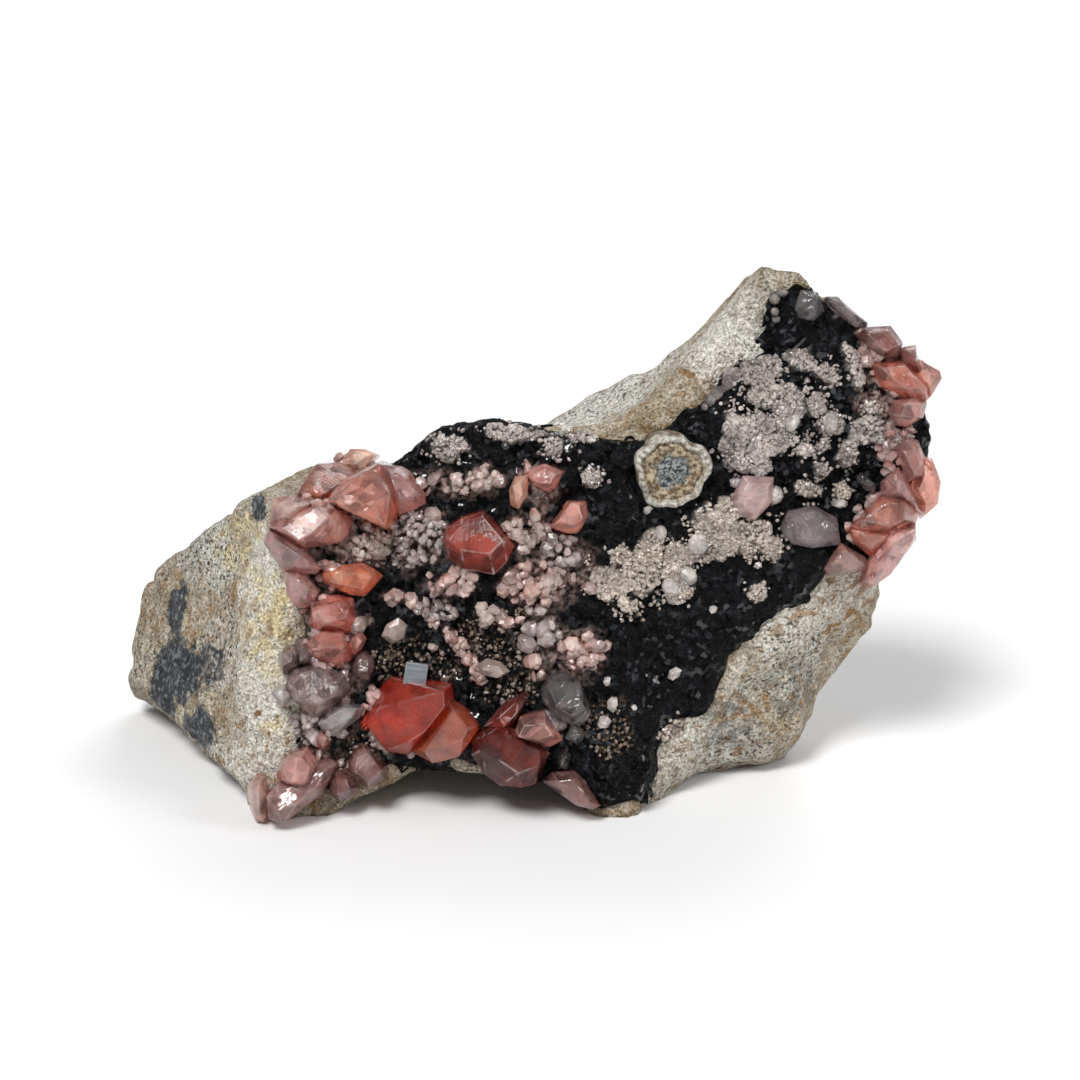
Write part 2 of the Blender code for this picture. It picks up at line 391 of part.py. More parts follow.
def rock_field(points, pocket=True):
    """Distance outside the rock, negative inside it: blocks joined, hollows taken out and lumps added.

    Without the pocket it is the rock as it would be if the pocket among the crystals were filled.
    """
    inside = -block(points, RIGHT_SLAB)
    for faces in (PEAK, MIDDLE_BLOCK, LEFT_END):
        inside = smooth_max(inside, -block(points, faces), JOIN_ROUND)
    inside = smooth_max(inside, -ellipsoid(points, *BACK_FOOT), 1.5)
    field = smooth_max(-inside, -ellipsoid(points, *VUG), 2.0) if pocket else -inside
    field = smooth_max(field, -ellipsoid(points, *BACK_HOLLOW), 1.5)
    radius = (ARCH_WIDTH ** 2 / 4 + ARCH_HEIGHT ** 2) / (2 * ARCH_HEIGHT)
    below = points[:, 2] + radius - ARCH_HEIGHT + ARCH_FALL * (points[:, 1] + 10)
    field = smooth_max(field, radius - np.hypot(points[:, 0] - ARCH_MIDDLE, below), 1.5)
    for size, height, seed in LUMPS:
        field += height * lattice_noise(points, size, seed)
    return field


def cube_directions(cells):
    """Directions over a whole sphere from six square grids, one for each side of a cube, and their square faces."""
    side = np.tan(np.linspace(-math.pi / 4, math.pi / 4, cells + 1))
    across, up = (a.ravel() for a in np.meshgrid(side, side, indexing="ij"))
    one = np.ones_like(across)
    sides = [
        np.stack([one, across, up], 1), np.stack([-one, up, across], 1),
        np.stack([up, one, across], 1), np.stack([across, -one, up], 1),
        np.stack([across, up, one], 1), np.stack([up, across, -one], 1),
    ]
    points = np.concatenate(sides)
    points /= np.linalg.norm(points, axis=1)[:, None]
    corner = np.arange((cells + 1) ** 2).reshape(cells + 1, cells + 1)
    quads = np.stack([corner[:-1, :-1], corner[1:, :-1], corner[1:, 1:], corner[:-1, 1:]], -1).reshape(-1, 4)
    quads = np.concatenate([quads + n * (cells + 1) ** 2 for n in range(6)])
    _, first, index = np.unique(np.round(points, 6), axis=0, return_index=True, return_inverse=True)
    return points[first], index.reshape(-1)[quads]


def rock_skin(level, floor):
    """The rock's skin at a distance outside its faces and no lower than the floor: points and square faces.

    Each ray from the heart is followed outwards to where it first leaves, and that span is then halved down.
    """
    directions, quads = cube_directions(ROCK_GRID)
    rays = directions * REACH / REACH.mean()

    def outside(reach):
        points = HEART + rays * reach
        return np.maximum(rock_field(points) - level, floor - points[:, 2]) > 0

    low = np.zeros((len(rays), 1))
    high = np.full((len(rays), 1), LONGEST_RAY)
    inside = np.ones(len(rays), bool)
    for reach in np.linspace(0.1, 1.0, 36) * LONGEST_RAY:
        left = inside & outside(reach)
        high[left] = reach
        inside &= ~left
        low[inside] = reach
    for _ in range(14):
        middle = (low + high) / 2
        beyond = outside(middle)[:, None]
        high = np.where(beyond, middle, high)
        low = np.where(beyond, low, middle)
    return HEART + rays * (low + high) / 2, quads


def ground_at(across, up, pocket=True):
    """The ground that a crystal stands on, behind a point of the drawing plane: the place, and its slope.

    The ground is the crust's outside, a gap larger. The slope is how much further back it lies per millimetre
    across and up. Where the line of sight misses the ground, the nearest miss stands in for it.
    """
    spots = np.array([(0, 0), (1, 0), (-1, 0), (0, 1), (0, -1)]) * SLOPE_STEP + (across, up)
    reach = np.linspace(-60, 60, 481)
    lines = (spots @ np.stack([ACROSS, UP]))[:, None] + AWAY * reach[:, None]
    field = rock_field(lines.reshape(-1, 3), pocket).reshape(len(spots), -1) - CRUST_THICKNESS - 2 * GAP
    depth = reach[np.where((field < 0).any(axis=1), np.argmax(field < 0, axis=1), np.argmin(field, axis=1))]
    slope = np.array([depth[1] - depth[2], depth[3] - depth[4]]) / (2 * SLOPE_STEP)
    return lines[0][0] + AWAY * (depth[0] - reach[0]), np.clip(slope, -STEEPEST, STEEPEST)


def facing(slope):
    """The direction square to ground of the given slope, towards the viewer."""
    normal = slope @ np.stack([ACROSS, UP]) - AWAY
    return normal / np.linalg.norm(normal)


def material(name, colour, roughness):
    made = bpy.data.materials.new(name)
    made.use_nodes = True
    shader = made.node_tree.nodes["Principled BSDF"]
    shader.inputs["Base Color"].default_value = (*colour, 1.0)
    shader.inputs["Roughness"].default_value = roughness
    return made


def add_object(name, points, faces, finish=None):
    """A mesh object from points in millimetres."""
    mesh = bpy.data.meshes.new(name)
    mesh.from_pydata((np.asarray(points) * MM).tolist(), [], [list(f) for f in faces])
    if finish:
        mesh.materials.append(finish)
    obj = bpy.data.objects.new(name, mesh)
    bpy.context.scene.collection.objects.link(obj)
    return obj


def settled(obj):
    """The object with its modifiers made real."""
    bpy.context.view_layer.update()
    graph = bpy.context.evaluated_depsgraph_get()
    mesh = bpy.data.meshes.new_from_object(obj.evaluated_get(graph))
    obj.modifiers.clear()
    obj.data = mesh
    return obj


def combined(obj, other, operation, keep_other=False):
    """obj joined with, cut by or cut down to the other object."""
    cut = obj.modifiers.new(operation, "BOOLEAN")
    cut.object = other
    cut.operation = operation
    cut.solver = "EXACT"
    settled(obj)
    if not keep_other:
        bpy.data.objects.remove(other)
    return obj


def skin_object(name, level, floor, triangles, finish=None):
    """A skin of the rock as a closed object, thinned to larger triangles where it is flat."""
    obj = add_object(name, *rock_skin(level, floor), finish)
    thin = obj.modifiers.new("thin", "DECIMATE")
    thin.ratio = triangles / (2 * len(obj.data.polygons))
    return settled(obj)


def tidied(obj):
    """The object with its doubled points merged and its normals pointing out."""
    bm = bmesh.new()
    bm.from_mesh(obj.data)
    bmesh.ops.remove_doubles(bm, verts=bm.verts, dist=DOUBLED * MM)
    bmesh.ops.recalc_face_normals(bm, faces=bm.faces)
    bm.to_mesh(obj.data)
    bm.free()
    return obj


def bodies_of(mesh):
    """The connected bodies of a mesh, as lists of point numbers, the largest first."""
    label = np.arange(len(mesh.vertices))
    ends = np.array([edge.vertices[:] for edge in mesh.edges])
    lowest = None
    while lowest is None or (lowest != label).any():
        lowest = label.copy()
        least = label[ends].min(axis=1)
        np.minimum.at(label, ends[:, 0], least)
        np.minimum.at(label, ends[:, 1], least)
    bodies = [np.flatnonzero(label == name) for name in np.unique(label)]
    return sorted(bodies, key=len, reverse=True)


def cut_out(obj, name, body):
    """A copy of the object that holds one body of it alone."""
    bm = bmesh.new()
    bm.from_mesh(obj.data)
    kept = set(body.tolist())
    bmesh.ops.delete(bm, geom=[vert for vert in bm.verts if vert.index not in kept], context="VERTS")
    mesh = bpy.data.meshes.new(name)
    bm.to_mesh(mesh)
    bm.free()
    for finish in obj.data.materials:
        mesh.materials.append(finish)
    made = bpy.data.objects.new(name, mesh)
    bpy.context.scene.collection.objects.link(made)
    return made


def parted(obj, most=None):
    """The object's separate bodies as objects, the largest first, without the loose chips that a cut leaves.

    The largest keeps the name, and the others number from 2.
    """
    name = obj.name
    bodies = bodies_of(tidied(obj).data)
    bodies = bodies[:1] + [body for body in bodies[1:most] if len(body) >= LEAST_BODY]
    obj.name = "parted"
    pieces = [cut_out(obj, name if n == 0 else f"{name}_{n + 1}", body) for n, body in enumerate(bodies)]
    bpy.data.objects.remove(obj)
    return pieces


def largest_body(obj):
    """The object's largest body alone."""
    return parted(obj, 1)[0]


def crust_prism(name, outline, margin, finish=None):
    """A block with the given outline on the drawing plane, from far in front to the crust's slanting back."""
    ring = np.array([ACROSS * a + UP * b for a, b in outline])
    count = len(ring)
    back = CRUST_BACK + margin + CRUST_BACK_SLOPE * np.array(outline)[:, 1:]
    points = np.concatenate([ring - AWAY * LONGEST_RAY, ring + AWAY * back])
    near = list(range(count))
    sides = [[i, i + count, (i + 1) % count + count, (i + 1) % count] for i in near]
    return tidied(add_object(name, points, [near, [i + count for i in reversed(near)], *sides], finish))


def grown(outline, margin):
    """The outline moved outwards by the margin."""
    ring = np.array(outline, float)
    along = np.roll(ring, -1, axis=0) - np.roll(ring, 1, axis=0)
    along /= np.linalg.norm(along, axis=1)[:, None]
    return ring + margin * np.stack([-along[:, 1], along[:, 0]], 1)


def matrix_rock(finish):
    """The pale rock, with one flat face where it rests."""
    rock = skin_object("matrix_rock", 0.0, 0.0, ROCK_FACES, finish)
    for vert in rock.data.vertices:
        if vert.co.z < FLAT_BASE * MM:
            vert.co.z = 0.0


def black_crust(finish):
    """The slab of black oxide over the front: a thicker rock, cut down to the outline, less the rock itself."""
    crust = crust_prism("black_crust", CRUST_OUTLINE, 0, finish)
    combined(crust, skin_object("outer", CRUST_THICKNESS + GAP, 0.6, CRUST_FACES), "INTERSECT")
    combined(crust, skin_object("inner", GAP + SLACK / 2, -2.0, CRUST_FACES), "DIFFERENCE")
    return largest_body(crust)


def ground_cutter():
    """What the crystals stand on, a gap larger: the rock and, over the front, the crust."""
    cutter = crust_prism("ground", grown(CRUST_OUTLINE, GAP), GAP)
    outer = skin_object("outer", CRUST_THICKNESS + 2 * GAP + SLACK, -2.0, CUTTER_FACES)
    combined(cutter, outer, "INTERSECT")
    combined(cutter, skin_object("inner", GAP + SLACK, -2.0, CUTTER_FACES), "UNION")
    corners = [(x, y, z) for x in (-60, 60) for y in (-60, 60) for z in (-60, LOWEST)]
    combined(cutter, hull("below", np.array(corners)), "UNION")
    return helper(cutter)


def hull(name, points, finish=None):
    """The convex solid around the points."""
    bm = bmesh.new()
    for point in points:
        bm.verts.new(point)
    made = bmesh.ops.convex_hull(bm, input=bm.verts)
    loose = [v for v in made["geom_interior"] + made["geom_unused"] if isinstance(v, bmesh.types.BMVert)]
    bmesh.ops.delete(bm, geom=list(set(loose)), context="VERTS")
    bm.verts.index_update()
    points = [v.co[:] for v in bm.verts]
    faces = [[v.index for v in f.verts] for f in bm.faces]
    bm.free()
    return tidied(add_object(name, points, faces, finish))


def crystal(name, outline, face, margin, finish=None):
    """One crystal: a root in the ground, its outline just above the ground and its front face, all in one hull.

    A margin makes it larger all round, for cutting its neighbours. Depths follow the slope of the ground.
    """
    outline, face = np.array(outline, float), np.array(face, float)
    centre = outline.mean(axis=0)
    foot, slope = ground_at(*centre, pocket=False)

    def placed(flat, rise):
        spread = flat - centre
        spread += margin * spread / np.linalg.norm(spread, axis=1)[:, None]
        away = foot @ AWAY + spread @ slope - rise
        return (centre + spread) @ np.stack([ACROSS, UP]) + away[:, None] * AWAY

    rise = 0.25 * face[:, 2].max() + 0.5 * margin
    root = placed(centre + ROOT_SPREAD * (outline - centre), np.full(len(outline), -SINK - margin))
    return hull(name, np.concatenate([root, placed(outline, rise), placed(face[:, :2], face[:, 2] + margin)]), finish)


def joined(name, objects, finish=None):
    """The objects' meshes in one object, overlapping as they lie."""
    bm = bmesh.new()
    for obj in objects:
        bm.from_mesh(obj.data)
        bpy.data.objects.remove(obj)
    mesh = bpy.data.meshes.new(name)
    bm.to_mesh(mesh)
    bm.free()
    if finish:
        mesh.materials.append(finish)
    obj = bpy.data.objects.new(name, mesh)
    bpy.context.scene.collection.objects.link(obj)
    return obj


def helper(obj):
    """The object kept only for cutting others."""
    obj.hide_render = True
    obj.display_type = "WIRE"
    return obj


def boxes_meet(one, other):
    """Whether the boxes around two meshes overlap."""
    spans = [np.array([v.co for v in obj.data.vertices]) for obj in (one, other)]
    lows, highs = [span.min(axis=0) for span in spans], [span.max(axis=0) for span in spans]
    return bool((lows[0] < highs[1]).all() and (lows[1] < highs[0]).all())


def grown_on(obj, ground, rooms, most=None):
    """The overlapping solids of an object made one, less the ground and the rooms kept for its neighbours.

    Where they don't grow together it becomes several objects, one for each separate body, up to the most asked for.
    """
    cut = obj.modifiers.new("ground", "BOOLEAN")
    cut.object = ground
    cut.operation = "DIFFERENCE"
    cut.solver = "EXACT"
    cut.use_self = True
    for piece in parted(settled(obj), most):
        for room in rooms:
            if boxes_meet(piece, room):
                piece = largest_body(combined(piece, room, "DIFFERENCE", keep_other=True))


def crystal_group(name, rows, ground, rooms, finish):
    """Crystals grown together, and the room that each of them keeps from later neighbours."""
    group = joined(name, [crystal("crystal", outline, face, 0, finish) for outline, face in rows], finish)
    grown_on(group, ground, rooms)
    rooms += [helper(crystal("room", outline, face, GAP)) for outline, face in rows]


def inside_outline(points, outline):
    """Whether each point lies inside the outline, by how often a line to its right crosses it."""
    inside = np.zeros(len(points), bool)
    for (x0, y0), (x1, y1) in zip(outline, np.roll(outline, -1, axis=0)):
        spans = (y0 > points[:, 1]) != (y1 > points[:, 1])
        crossing = x0 + (points[:, 1] - y0) * (x1 - x0) / np.where(y1 == y0, 1, y1 - y0)
        inside ^= spans & (points[:, 0] < crossing)
    return inside


def grain(place, size, random):
    """An angular grain on the ground, as its middle and the points around it of which it is the hull."""
    foot, slope = ground_at(*place)
    normal = facing(slope)
    ways = random.normal(size=(9, 3))
    ways /= np.linalg.norm(ways, axis=1)[:, None]
    ways -= np.outer(ways @ normal, normal) * random.uniform(0.1, 0.35)
    return foot + normal * 0.15 * size, ways * size


def grain_patch(name, spacing, outline, seed, ground, rooms, finish):
    """A patch of grains that overlap: one at each point of a staggered grid inside the outline."""
    random = np.random.default_rng(seed)
    outline = np.array(outline, float)
    low, high = outline.min(axis=0), outline.max(axis=0)
    rows = np.arange(low[1], high[1], spacing * 0.87)
    places = [(a + spacing / 2 * (n % 2), b) for n, b in enumerate(rows) for a in np.arange(low[0], high[0], spacing)]
    places = np.array(places) + random.uniform(-0.2, 0.2, (len(places), 2)) * spacing
    places = places[inside_outline(places, outline)]
    grains = [grain(place, spacing * random.uniform(0.8, 1.1), random) for place in places]
    patch = joined(name, [hull("grain", middle + around, finish) for middle, around in grains], finish)
    grown_on(patch, ground, rooms)
    for middle, around in grains:
        length = np.linalg.norm(around, axis=1)[:, None]
        rooms.append(helper(hull("room", middle + around * (1 + GAP / length * 1.3))))


def turned(name, profile, steps, centre, axis, finish):
    """A profile of (radius, height) points turned round an axis, closed at its middle."""
    side = np.cross(axis, UP)
    side /= np.linalg.norm(side)
    other = np.cross(axis, side)
    rings = []
    for radius, height in profile:
        turns = 2 * math.pi * np.arange(steps) / steps
        ring = np.outer(np.cos(turns), side) + np.outer(np.sin(turns), other)
        rings.append(centre + axis * height + ring * radius)
    points = np.concatenate(rings)
    faces = [list(range(steps)), [len(points) - 1 - i for i in range(steps)]]
    for ring in range(len(profile) - 1):
        start = ring * steps
        for i in range(steps):
            after = (i + 1) % steps
            faces.append([start + i, start + steps + i, start + steps + after, start + after])
    return tidied(add_object(name, points, faces, finish))


def ring_nodule(ground, rooms, finish):
    """The round nodule with raised rings, seated on the crust."""
    centre, slope = ground_at(*NODULE_PLACE)
    axis = facing(slope)
    nodule = turned("ring_nodule", NODULE_PROFILE, NODULE_STEPS, centre, axis, finish)
    grown_on(nodule, ground, rooms, 1)
    larger = [(radius + GAP, height + GAP) for radius, height in NODULE_PROFILE]
    rooms.append(helper(turned("room", larger, NODULE_STEPS, centre, axis, None)))


def silvery_cube(ground, rooms, finish):
    """The small bright cube beside the red crystals, one face to the front, a little turned."""
    foot, _ = ground_at(*CUBE_PLACE)
    turn = math.radians(CUBE_TURN)
    side = math.cos(turn) * ACROSS + math.sin(turn) * UP
    rise = math.cos(turn) * UP - math.sin(turn) * ACROSS
    centre = foot - AWAY * CUBE_SIZE / 2
    corners = [(i, j, k) for i in (-1, 1) for j in (-1, 1) for k in (1, -2)]

    def points(size):
        return [centre + size / 2 * (i * side + j * rise - k * AWAY) for i, j, k in corners]

    grown_on(hull("silvery_cube", points(CUBE_SIZE), finish), ground, rooms, 1)
    rooms.append(helper(hull("room", points(CUBE_SIZE + 2 * GAP))))


def main():
    for obj in list(bpy.data.objects):
        bpy.data.objects.remove(obj)
    pale = material("pale_rock", (0.62, 0.58, 0.50), 0.9)
    black = material("black_oxide", (0.02, 0.02, 0.022), 0.5)
    red = material("rhodochrosite", (0.72, 0.30, 0.28), 0.2)
    clear = material("clear_crystal", (0.75, 0.68, 0.68), 0.1)
    grains = material("sugary_grains", (0.66, 0.60, 0.56), 0.5)
    cream = material("cream_nodule", (0.72, 0.70, 0.60), 0.7)
    silver = material("silvery_metal", (0.55, 0.57, 0.60), 0.35)
    matrix_rock(pale)
    black_crust(black)
    ground, rooms = ground_cutter(), []
    for name, rows in CRYSTALS.items():
        crystal_group(name, rows, ground, rooms, clear if name in CLEAR else red)
    ring_nodule(ground, rooms, cream)
    silvery_cube(ground, rooms, silver)
    for seed, (name, (spacing, outline)) in enumerate(PATCHES.items()):
        grain_patch(name, spacing, outline, seed, ground, rooms, grains)
    for cutter in (ground, *rooms):
        bpy.data.objects.remove(cutter)
    for obj in bpy.data.objects:
        obj.data.transform(Matrix.Translation(-MIDDLE * MM))


main()
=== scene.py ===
# %% [markdown]
# # Rhodochrosite on matrix
#
# A hand specimen: a broken lump of pale rock, a black oxide crust over its front, and on that crust pink to
# red rhodochrosite crystals with small quartz crystals between them. Each step below makes one of those in
# the order in which it grew: rock, crust, large crystals, small crystals, nodule and cube.
#
# The solids for collision come first, as a fixed frame. Every surface made here takes the place of one or
# more of them, so this cell loads them.

# %% The fixed frame
import math

import bmesh
import bpy
import numpy as np
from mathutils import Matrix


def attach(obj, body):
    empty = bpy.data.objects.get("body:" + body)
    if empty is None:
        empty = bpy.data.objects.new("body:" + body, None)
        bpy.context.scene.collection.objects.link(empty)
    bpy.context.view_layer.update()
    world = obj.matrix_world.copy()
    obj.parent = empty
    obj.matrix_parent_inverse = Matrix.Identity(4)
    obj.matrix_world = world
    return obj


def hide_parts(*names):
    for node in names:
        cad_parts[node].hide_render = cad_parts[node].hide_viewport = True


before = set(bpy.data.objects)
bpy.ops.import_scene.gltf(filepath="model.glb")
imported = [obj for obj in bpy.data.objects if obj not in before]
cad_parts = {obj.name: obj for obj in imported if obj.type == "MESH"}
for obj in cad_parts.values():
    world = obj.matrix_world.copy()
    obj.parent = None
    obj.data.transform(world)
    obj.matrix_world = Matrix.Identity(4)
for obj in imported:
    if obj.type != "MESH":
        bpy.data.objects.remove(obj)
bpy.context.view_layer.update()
print("solids in the frame:", len(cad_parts))

# %% [markdown]
# A stone is easiest to lay out in millimetres, on a sheet of paper held in front of it. The drawing plane
# here faces the specimen's front from 20 degrees above the horizon: `ACROSS` runs to the right on it, `UP`
# runs up it, and `AWAY` points through it into the stone. `MIDDLE` is the layout's point that ends up at
# the origin.

# %% The drawing plane
MM = 0.001
MIDDLE = np.array([-0.03, 1.55, 0.0])
TILT = math.radians(20)
ACROSS = np.array([1.0, 0.0, 0.0])
UP = np.array([0.0, math.sin(TILT), math.cos(TILT)])
AWAY = np.array([0.0, math.cos(TILT), -math.sin(TILT)])
PLANE = np.stack([ACROSS, UP])


def in_metres(points):
    """Layout millimetres to the frame's metres: the middle is taken off, then the scale is changed."""
    return (np.asarray(points, float) - MIDDLE) * MM


def on_plane(points):
    """The place of each point on the drawing plane: its share along ACROSS and along UP."""
    return points @ PLANE.T


print("one step of 10 mm up the plane rises", round(10 * UP[2], 2), "mm")

# %% [markdown]
# The camera stands on the drawing plane's own axis, a third of a metre away, with a long lens, so it sees
# the specimen as the plane lays it out.

# %% The camera
CAMERA_DISTANCE = 330.0
AIM = np.array([1.9, 0.0, 26.9])
camera = bpy.data.objects.new("camera", bpy.data.cameras.new("camera"))
bpy.context.scene.collection.objects.link(camera)
bpy.context.scene.camera = camera
camera.data.lens = 100
camera.data.sensor_width = 36
camera.data.clip_start = 0.01
camera.location = in_metres(AIM - AWAY * CAMERA_DISTANCE)
camera.rotation_euler = (math.pi / 2 - TILT, 0, 0)
print("camera at", [round(value, 3) for value in camera.location])

# %% [markdown]
# Studio light for a glassy, dark and pale subject at once: a pale floor under an even surround, and three
# broad soft lights that stand so far off that the floor stays even. The key comes from above, in front and
# the left and gives the glints; the weaker one comes from behind and the right and lights the upper edges.

# %% The floor and the lights
FLOOR_HALF = 2.5
bpy.context.scene.view_settings.view_transform = "Standard"


def soft_light(name, place, aim, size, power):
    """A square area light of the given side, in metres, turned so that it shines at the aim."""
    light = bpy.data.lights.new(name, "AREA")
    light.size = size
    light.energy = power
    obj = bpy.data.objects.new(name, light)
    bpy.context.scene.collection.objects.link(obj)
    obj.location = place
    obj.rotation_mode = "QUATERNION"
    towards = obj.location.copy()
    towards.x, towards.y, towards.z = (a - p for a, p in zip(aim, place))
    obj.rotation_quaternion = towards.to_track_quat("-Z", "Y")
    return obj


soft_light("key_light", (-0.7, -1.5, 2.3), (0, 0.2, 0), 0.85, 70)
soft_light("back_light", (0.8, 2.0, 2.0), (0, 0.3, 0), 1.8, 34)
soft_light("side_light", (2.4, -0.8, 1.3), (0, 0.2, 0), 0.9, 22)
world = bpy.data.worlds.new("surround")
bpy.context.scene.world = world
world.use_nodes = True
world.node_tree.nodes["Background"].inputs["Color"].default_value = (0.97, 0.98, 1.0, 1)
world.node_tree.nodes["Background"].inputs["Strength"].default_value = 0.27

# %% [markdown]
# Materials are built from nodes. Small helpers keep that readable: one adds a node and wires or sets its
# inputs by name, another starts a material and returns its Principled shader. The rest are the few steps
# that every finish below is made of: blending, sums, spans and painted masks.

# %% Helpers for materials
def add_node(tree, kind, inputs=None, **settings):
    """A node of the given kind, whose inputs are wired where a socket is given and set where a value is."""
    node = tree.nodes.new(kind)
    for name, value in settings.items():
        setattr(node, name, value)
    for name, value in (inputs or {}).items():
        socket = node.inputs[name]
        if isinstance(value, bpy.types.NodeSocket):
            tree.links.new(value, socket)
        elif isinstance(value, tuple) and len(value) == 3 and socket.type == "RGBA":
            socket.default_value = (*value, 1.0)
        else:
            socket.default_value = value
    return node


def new_material(name, **plain):
    """A material and its Principled shader, with plain values set on the shader's own sockets."""
    made = bpy.data.materials.new(name)
    made.use_nodes = True
    shader = made.node_tree.nodes["Principled BSDF"]
    for words, value in plain.items():
        socket = shader.inputs[words.replace("_", " ").title().replace("Ior", "IOR")]
        socket.default_value = (*value, 1.0) if socket.type == "RGBA" else value
    return made, made.node_tree, shader


def blended(tree, share, one, other, mode="MIX"):
    """Colour one, with the other laid over it by the share."""
    node = add_node(tree, "ShaderNodeMix", data_type="RGBA", blend_type=mode)
    for socket, value in ((node.inputs[0], share), (node.inputs[6], one), (node.inputs[7], other)):
        if isinstance(value, bpy.types.NodeSocket):
            tree.links.new(value, socket)
        elif isinstance(value, tuple):
            socket.default_value = (*value, 1.0)
        else:
            socket.default_value = value
    return node.outputs[2]


def maths(tree, operation, one, other, clamp=False):
    """One sum on two values or sockets."""
    node = add_node(tree, "ShaderNodeMath", operation=operation, use_clamp=clamp)
    for socket, value in zip(node.inputs, (one, other)):
        if isinstance(value, bpy.types.NodeSocket):
            tree.links.new(value, socket)
        else:
            socket.default_value = value
    return node.outputs[0]


def spanned(tree, value, low=0.0, high=1.0, start=0.0, end=1.0):
    """The value carried from the span low to high over to the span start to end, and held at both ends."""
    inputs = {"Value": value, "From Min": low, "From Max": high, "To Min": start, "To Max": end}
    return add_node(tree, "ShaderNodeMapRange", inputs).outputs["Result"]


def painted(tree, name):
    """The mask or colour of that name that the piece carries on its points."""
    return add_node(tree, "ShaderNodeAttribute", attribute_name=name)


# %% [markdown]
# Stone is speckled at many scales. The shared group `speckle` gives a mask of blotches or grains of a
# chosen size in millimetres: noise on the object's own coordinates, cut between a low and a high value. The
# shared group `facets` makes a surface of tiny flakes, each with its own value and its own tilt, for
# sparkle.

# %% Shared groups: speckle and facets
def speckle_group():
    """Noise of a size in mm, mapped so that Low becomes 0 and High becomes 1."""
    tree = bpy.data.node_groups.new("speckle", "ShaderNodeTree")
    for name, value in (("Size", 1.0), ("Detail", 2.0), ("Low", 0.4), ("High", 0.6)):
        tree.interface.new_socket(name, in_out="INPUT", socket_type="NodeSocketFloat").default_value = value
    tree.interface.new_socket("Mask", in_out="OUTPUT", socket_type="NodeSocketFloat")
    entry, leave = tree.nodes.new("NodeGroupInput"), tree.nodes.new("NodeGroupOutput")
    place = add_node(tree, "ShaderNodeTexCoord").outputs["Object"]
    scale = maths(tree, "DIVIDE", 1000.0, entry.outputs["Size"])
    inputs = {"Vector": place, "Scale": scale, "Detail": entry.outputs["Detail"]}
    noise = add_node(tree, "ShaderNodeTexNoise", inputs).outputs["Fac"]
    mask = spanned(tree, noise, entry.outputs["Low"], entry.outputs["High"])
    tree.links.new(mask, leave.inputs["Mask"])
    return tree


def facets_group():
    """Voronoi cells of a size in mm: each cell's chance, the distance from its middle and a tilted normal.

    The normal is the surface's own plus Tilt times a random offset for each cell: a tiny face.
    """
    tree = bpy.data.node_groups.new("facets", "ShaderNodeTree")
    for name, value in (("Size", 0.3), ("Tilt", 0.3)):
        tree.interface.new_socket(name, in_out="INPUT", socket_type="NodeSocketFloat").default_value = value
    for name in ("Chance", "Height"):
        tree.interface.new_socket(name, in_out="OUTPUT", socket_type="NodeSocketFloat")
    tree.interface.new_socket("Normal", in_out="OUTPUT", socket_type="NodeSocketVector")
    entry, leave = tree.nodes.new("NodeGroupInput"), tree.nodes.new("NodeGroupOutput")
    place = add_node(tree, "ShaderNodeTexCoord").outputs["Object"]
    scale = maths(tree, "DIVIDE", 1000.0, entry.outputs["Size"])
    cells = add_node(tree, "ShaderNodeTexVoronoi", {"Vector": place, "Scale": scale})
    parts = add_node(tree, "ShaderNodeSeparateColor", {"Color": cells.outputs["Color"]})
    offset = add_node(tree, "ShaderNodeVectorMath", {0: cells.outputs["Color"], 1: (0.5, 0.5, 0.5)},
                      operation="SUBTRACT").outputs[0]
    tilt = {0: offset, "Scale": entry.outputs["Tilt"]}
    push = add_node(tree, "ShaderNodeVectorMath", tilt, operation="SCALE").outputs[0]
    own = add_node(tree, "ShaderNodeNewGeometry").outputs["Normal"]
    tilted = add_node(tree, "ShaderNodeVectorMath", {0: own, 1: push}, operation="ADD").outputs[0]
    unit = add_node(tree, "ShaderNodeVectorMath", {0: tilted}, operation="NORMALIZE").outputs[0]
    tree.links.new(parts.outputs["Red"], leave.inputs["Chance"])
    tree.links.new(cells.outputs["Distance"], leave.inputs["Height"])
    tree.links.new(unit, leave.inputs["Normal"])
    return tree


SPECKLE, FACETS = speckle_group(), facets_group()


def speckle(tree, size, low, high, detail=2.0):
    """A speckle mask in a material."""
    node = add_node(tree, "ShaderNodeGroup", node_tree=SPECKLE)
    for name, value in (("Size", size), ("Detail", detail), ("Low", low), ("High", high)):
        node.inputs[name].default_value = value
    return node.outputs["Mask"]


def facets(tree, size, tilt=0.3):
    """The chance, height and tilted normal of flakes in a material."""
    node = add_node(tree, "ShaderNodeGroup", node_tree=FACETS)
    node.inputs["Size"].default_value = size
    node.inputs["Tilt"].default_value = tilt
    return node.outputs["Chance"], node.outputs["Height"], node.outputs["Normal"]


def bumped(tree, height, distance, strength=1.0, under=None):
    """A normal pushed by the height, in mm, over the normal under it."""
    inputs = {"Height": height, "Distance": distance * MM, "Strength": strength}
    if under:
        inputs["Normal"] = under
    return add_node(tree, "ShaderNodeBump", inputs).outputs["Normal"]


print("shared groups:", [group.name for group in bpy.data.node_groups])

# %% [markdown]
# The floor is plain and pale, a little rough, and reaches past everything that the camera sees.

# %% The floor
floor_mesh = bpy.data.meshes.new("floor")
floor_corners = [(x * FLOOR_HALF, y * FLOOR_HALF, 0) for x, y in ((-1, -1), (1, -1), (1, 1), (-1, 1))]
floor_mesh.from_pydata(floor_corners, [], [(0, 1, 2, 3)])
floor = bpy.data.objects.new("floor", floor_mesh)
bpy.context.scene.collection.objects.link(floor)
paper, _, _ = new_material("pale_paper", base_color=(0.86, 0.86, 0.86), roughness=0.75)
floor_mesh.materials.append(paper)

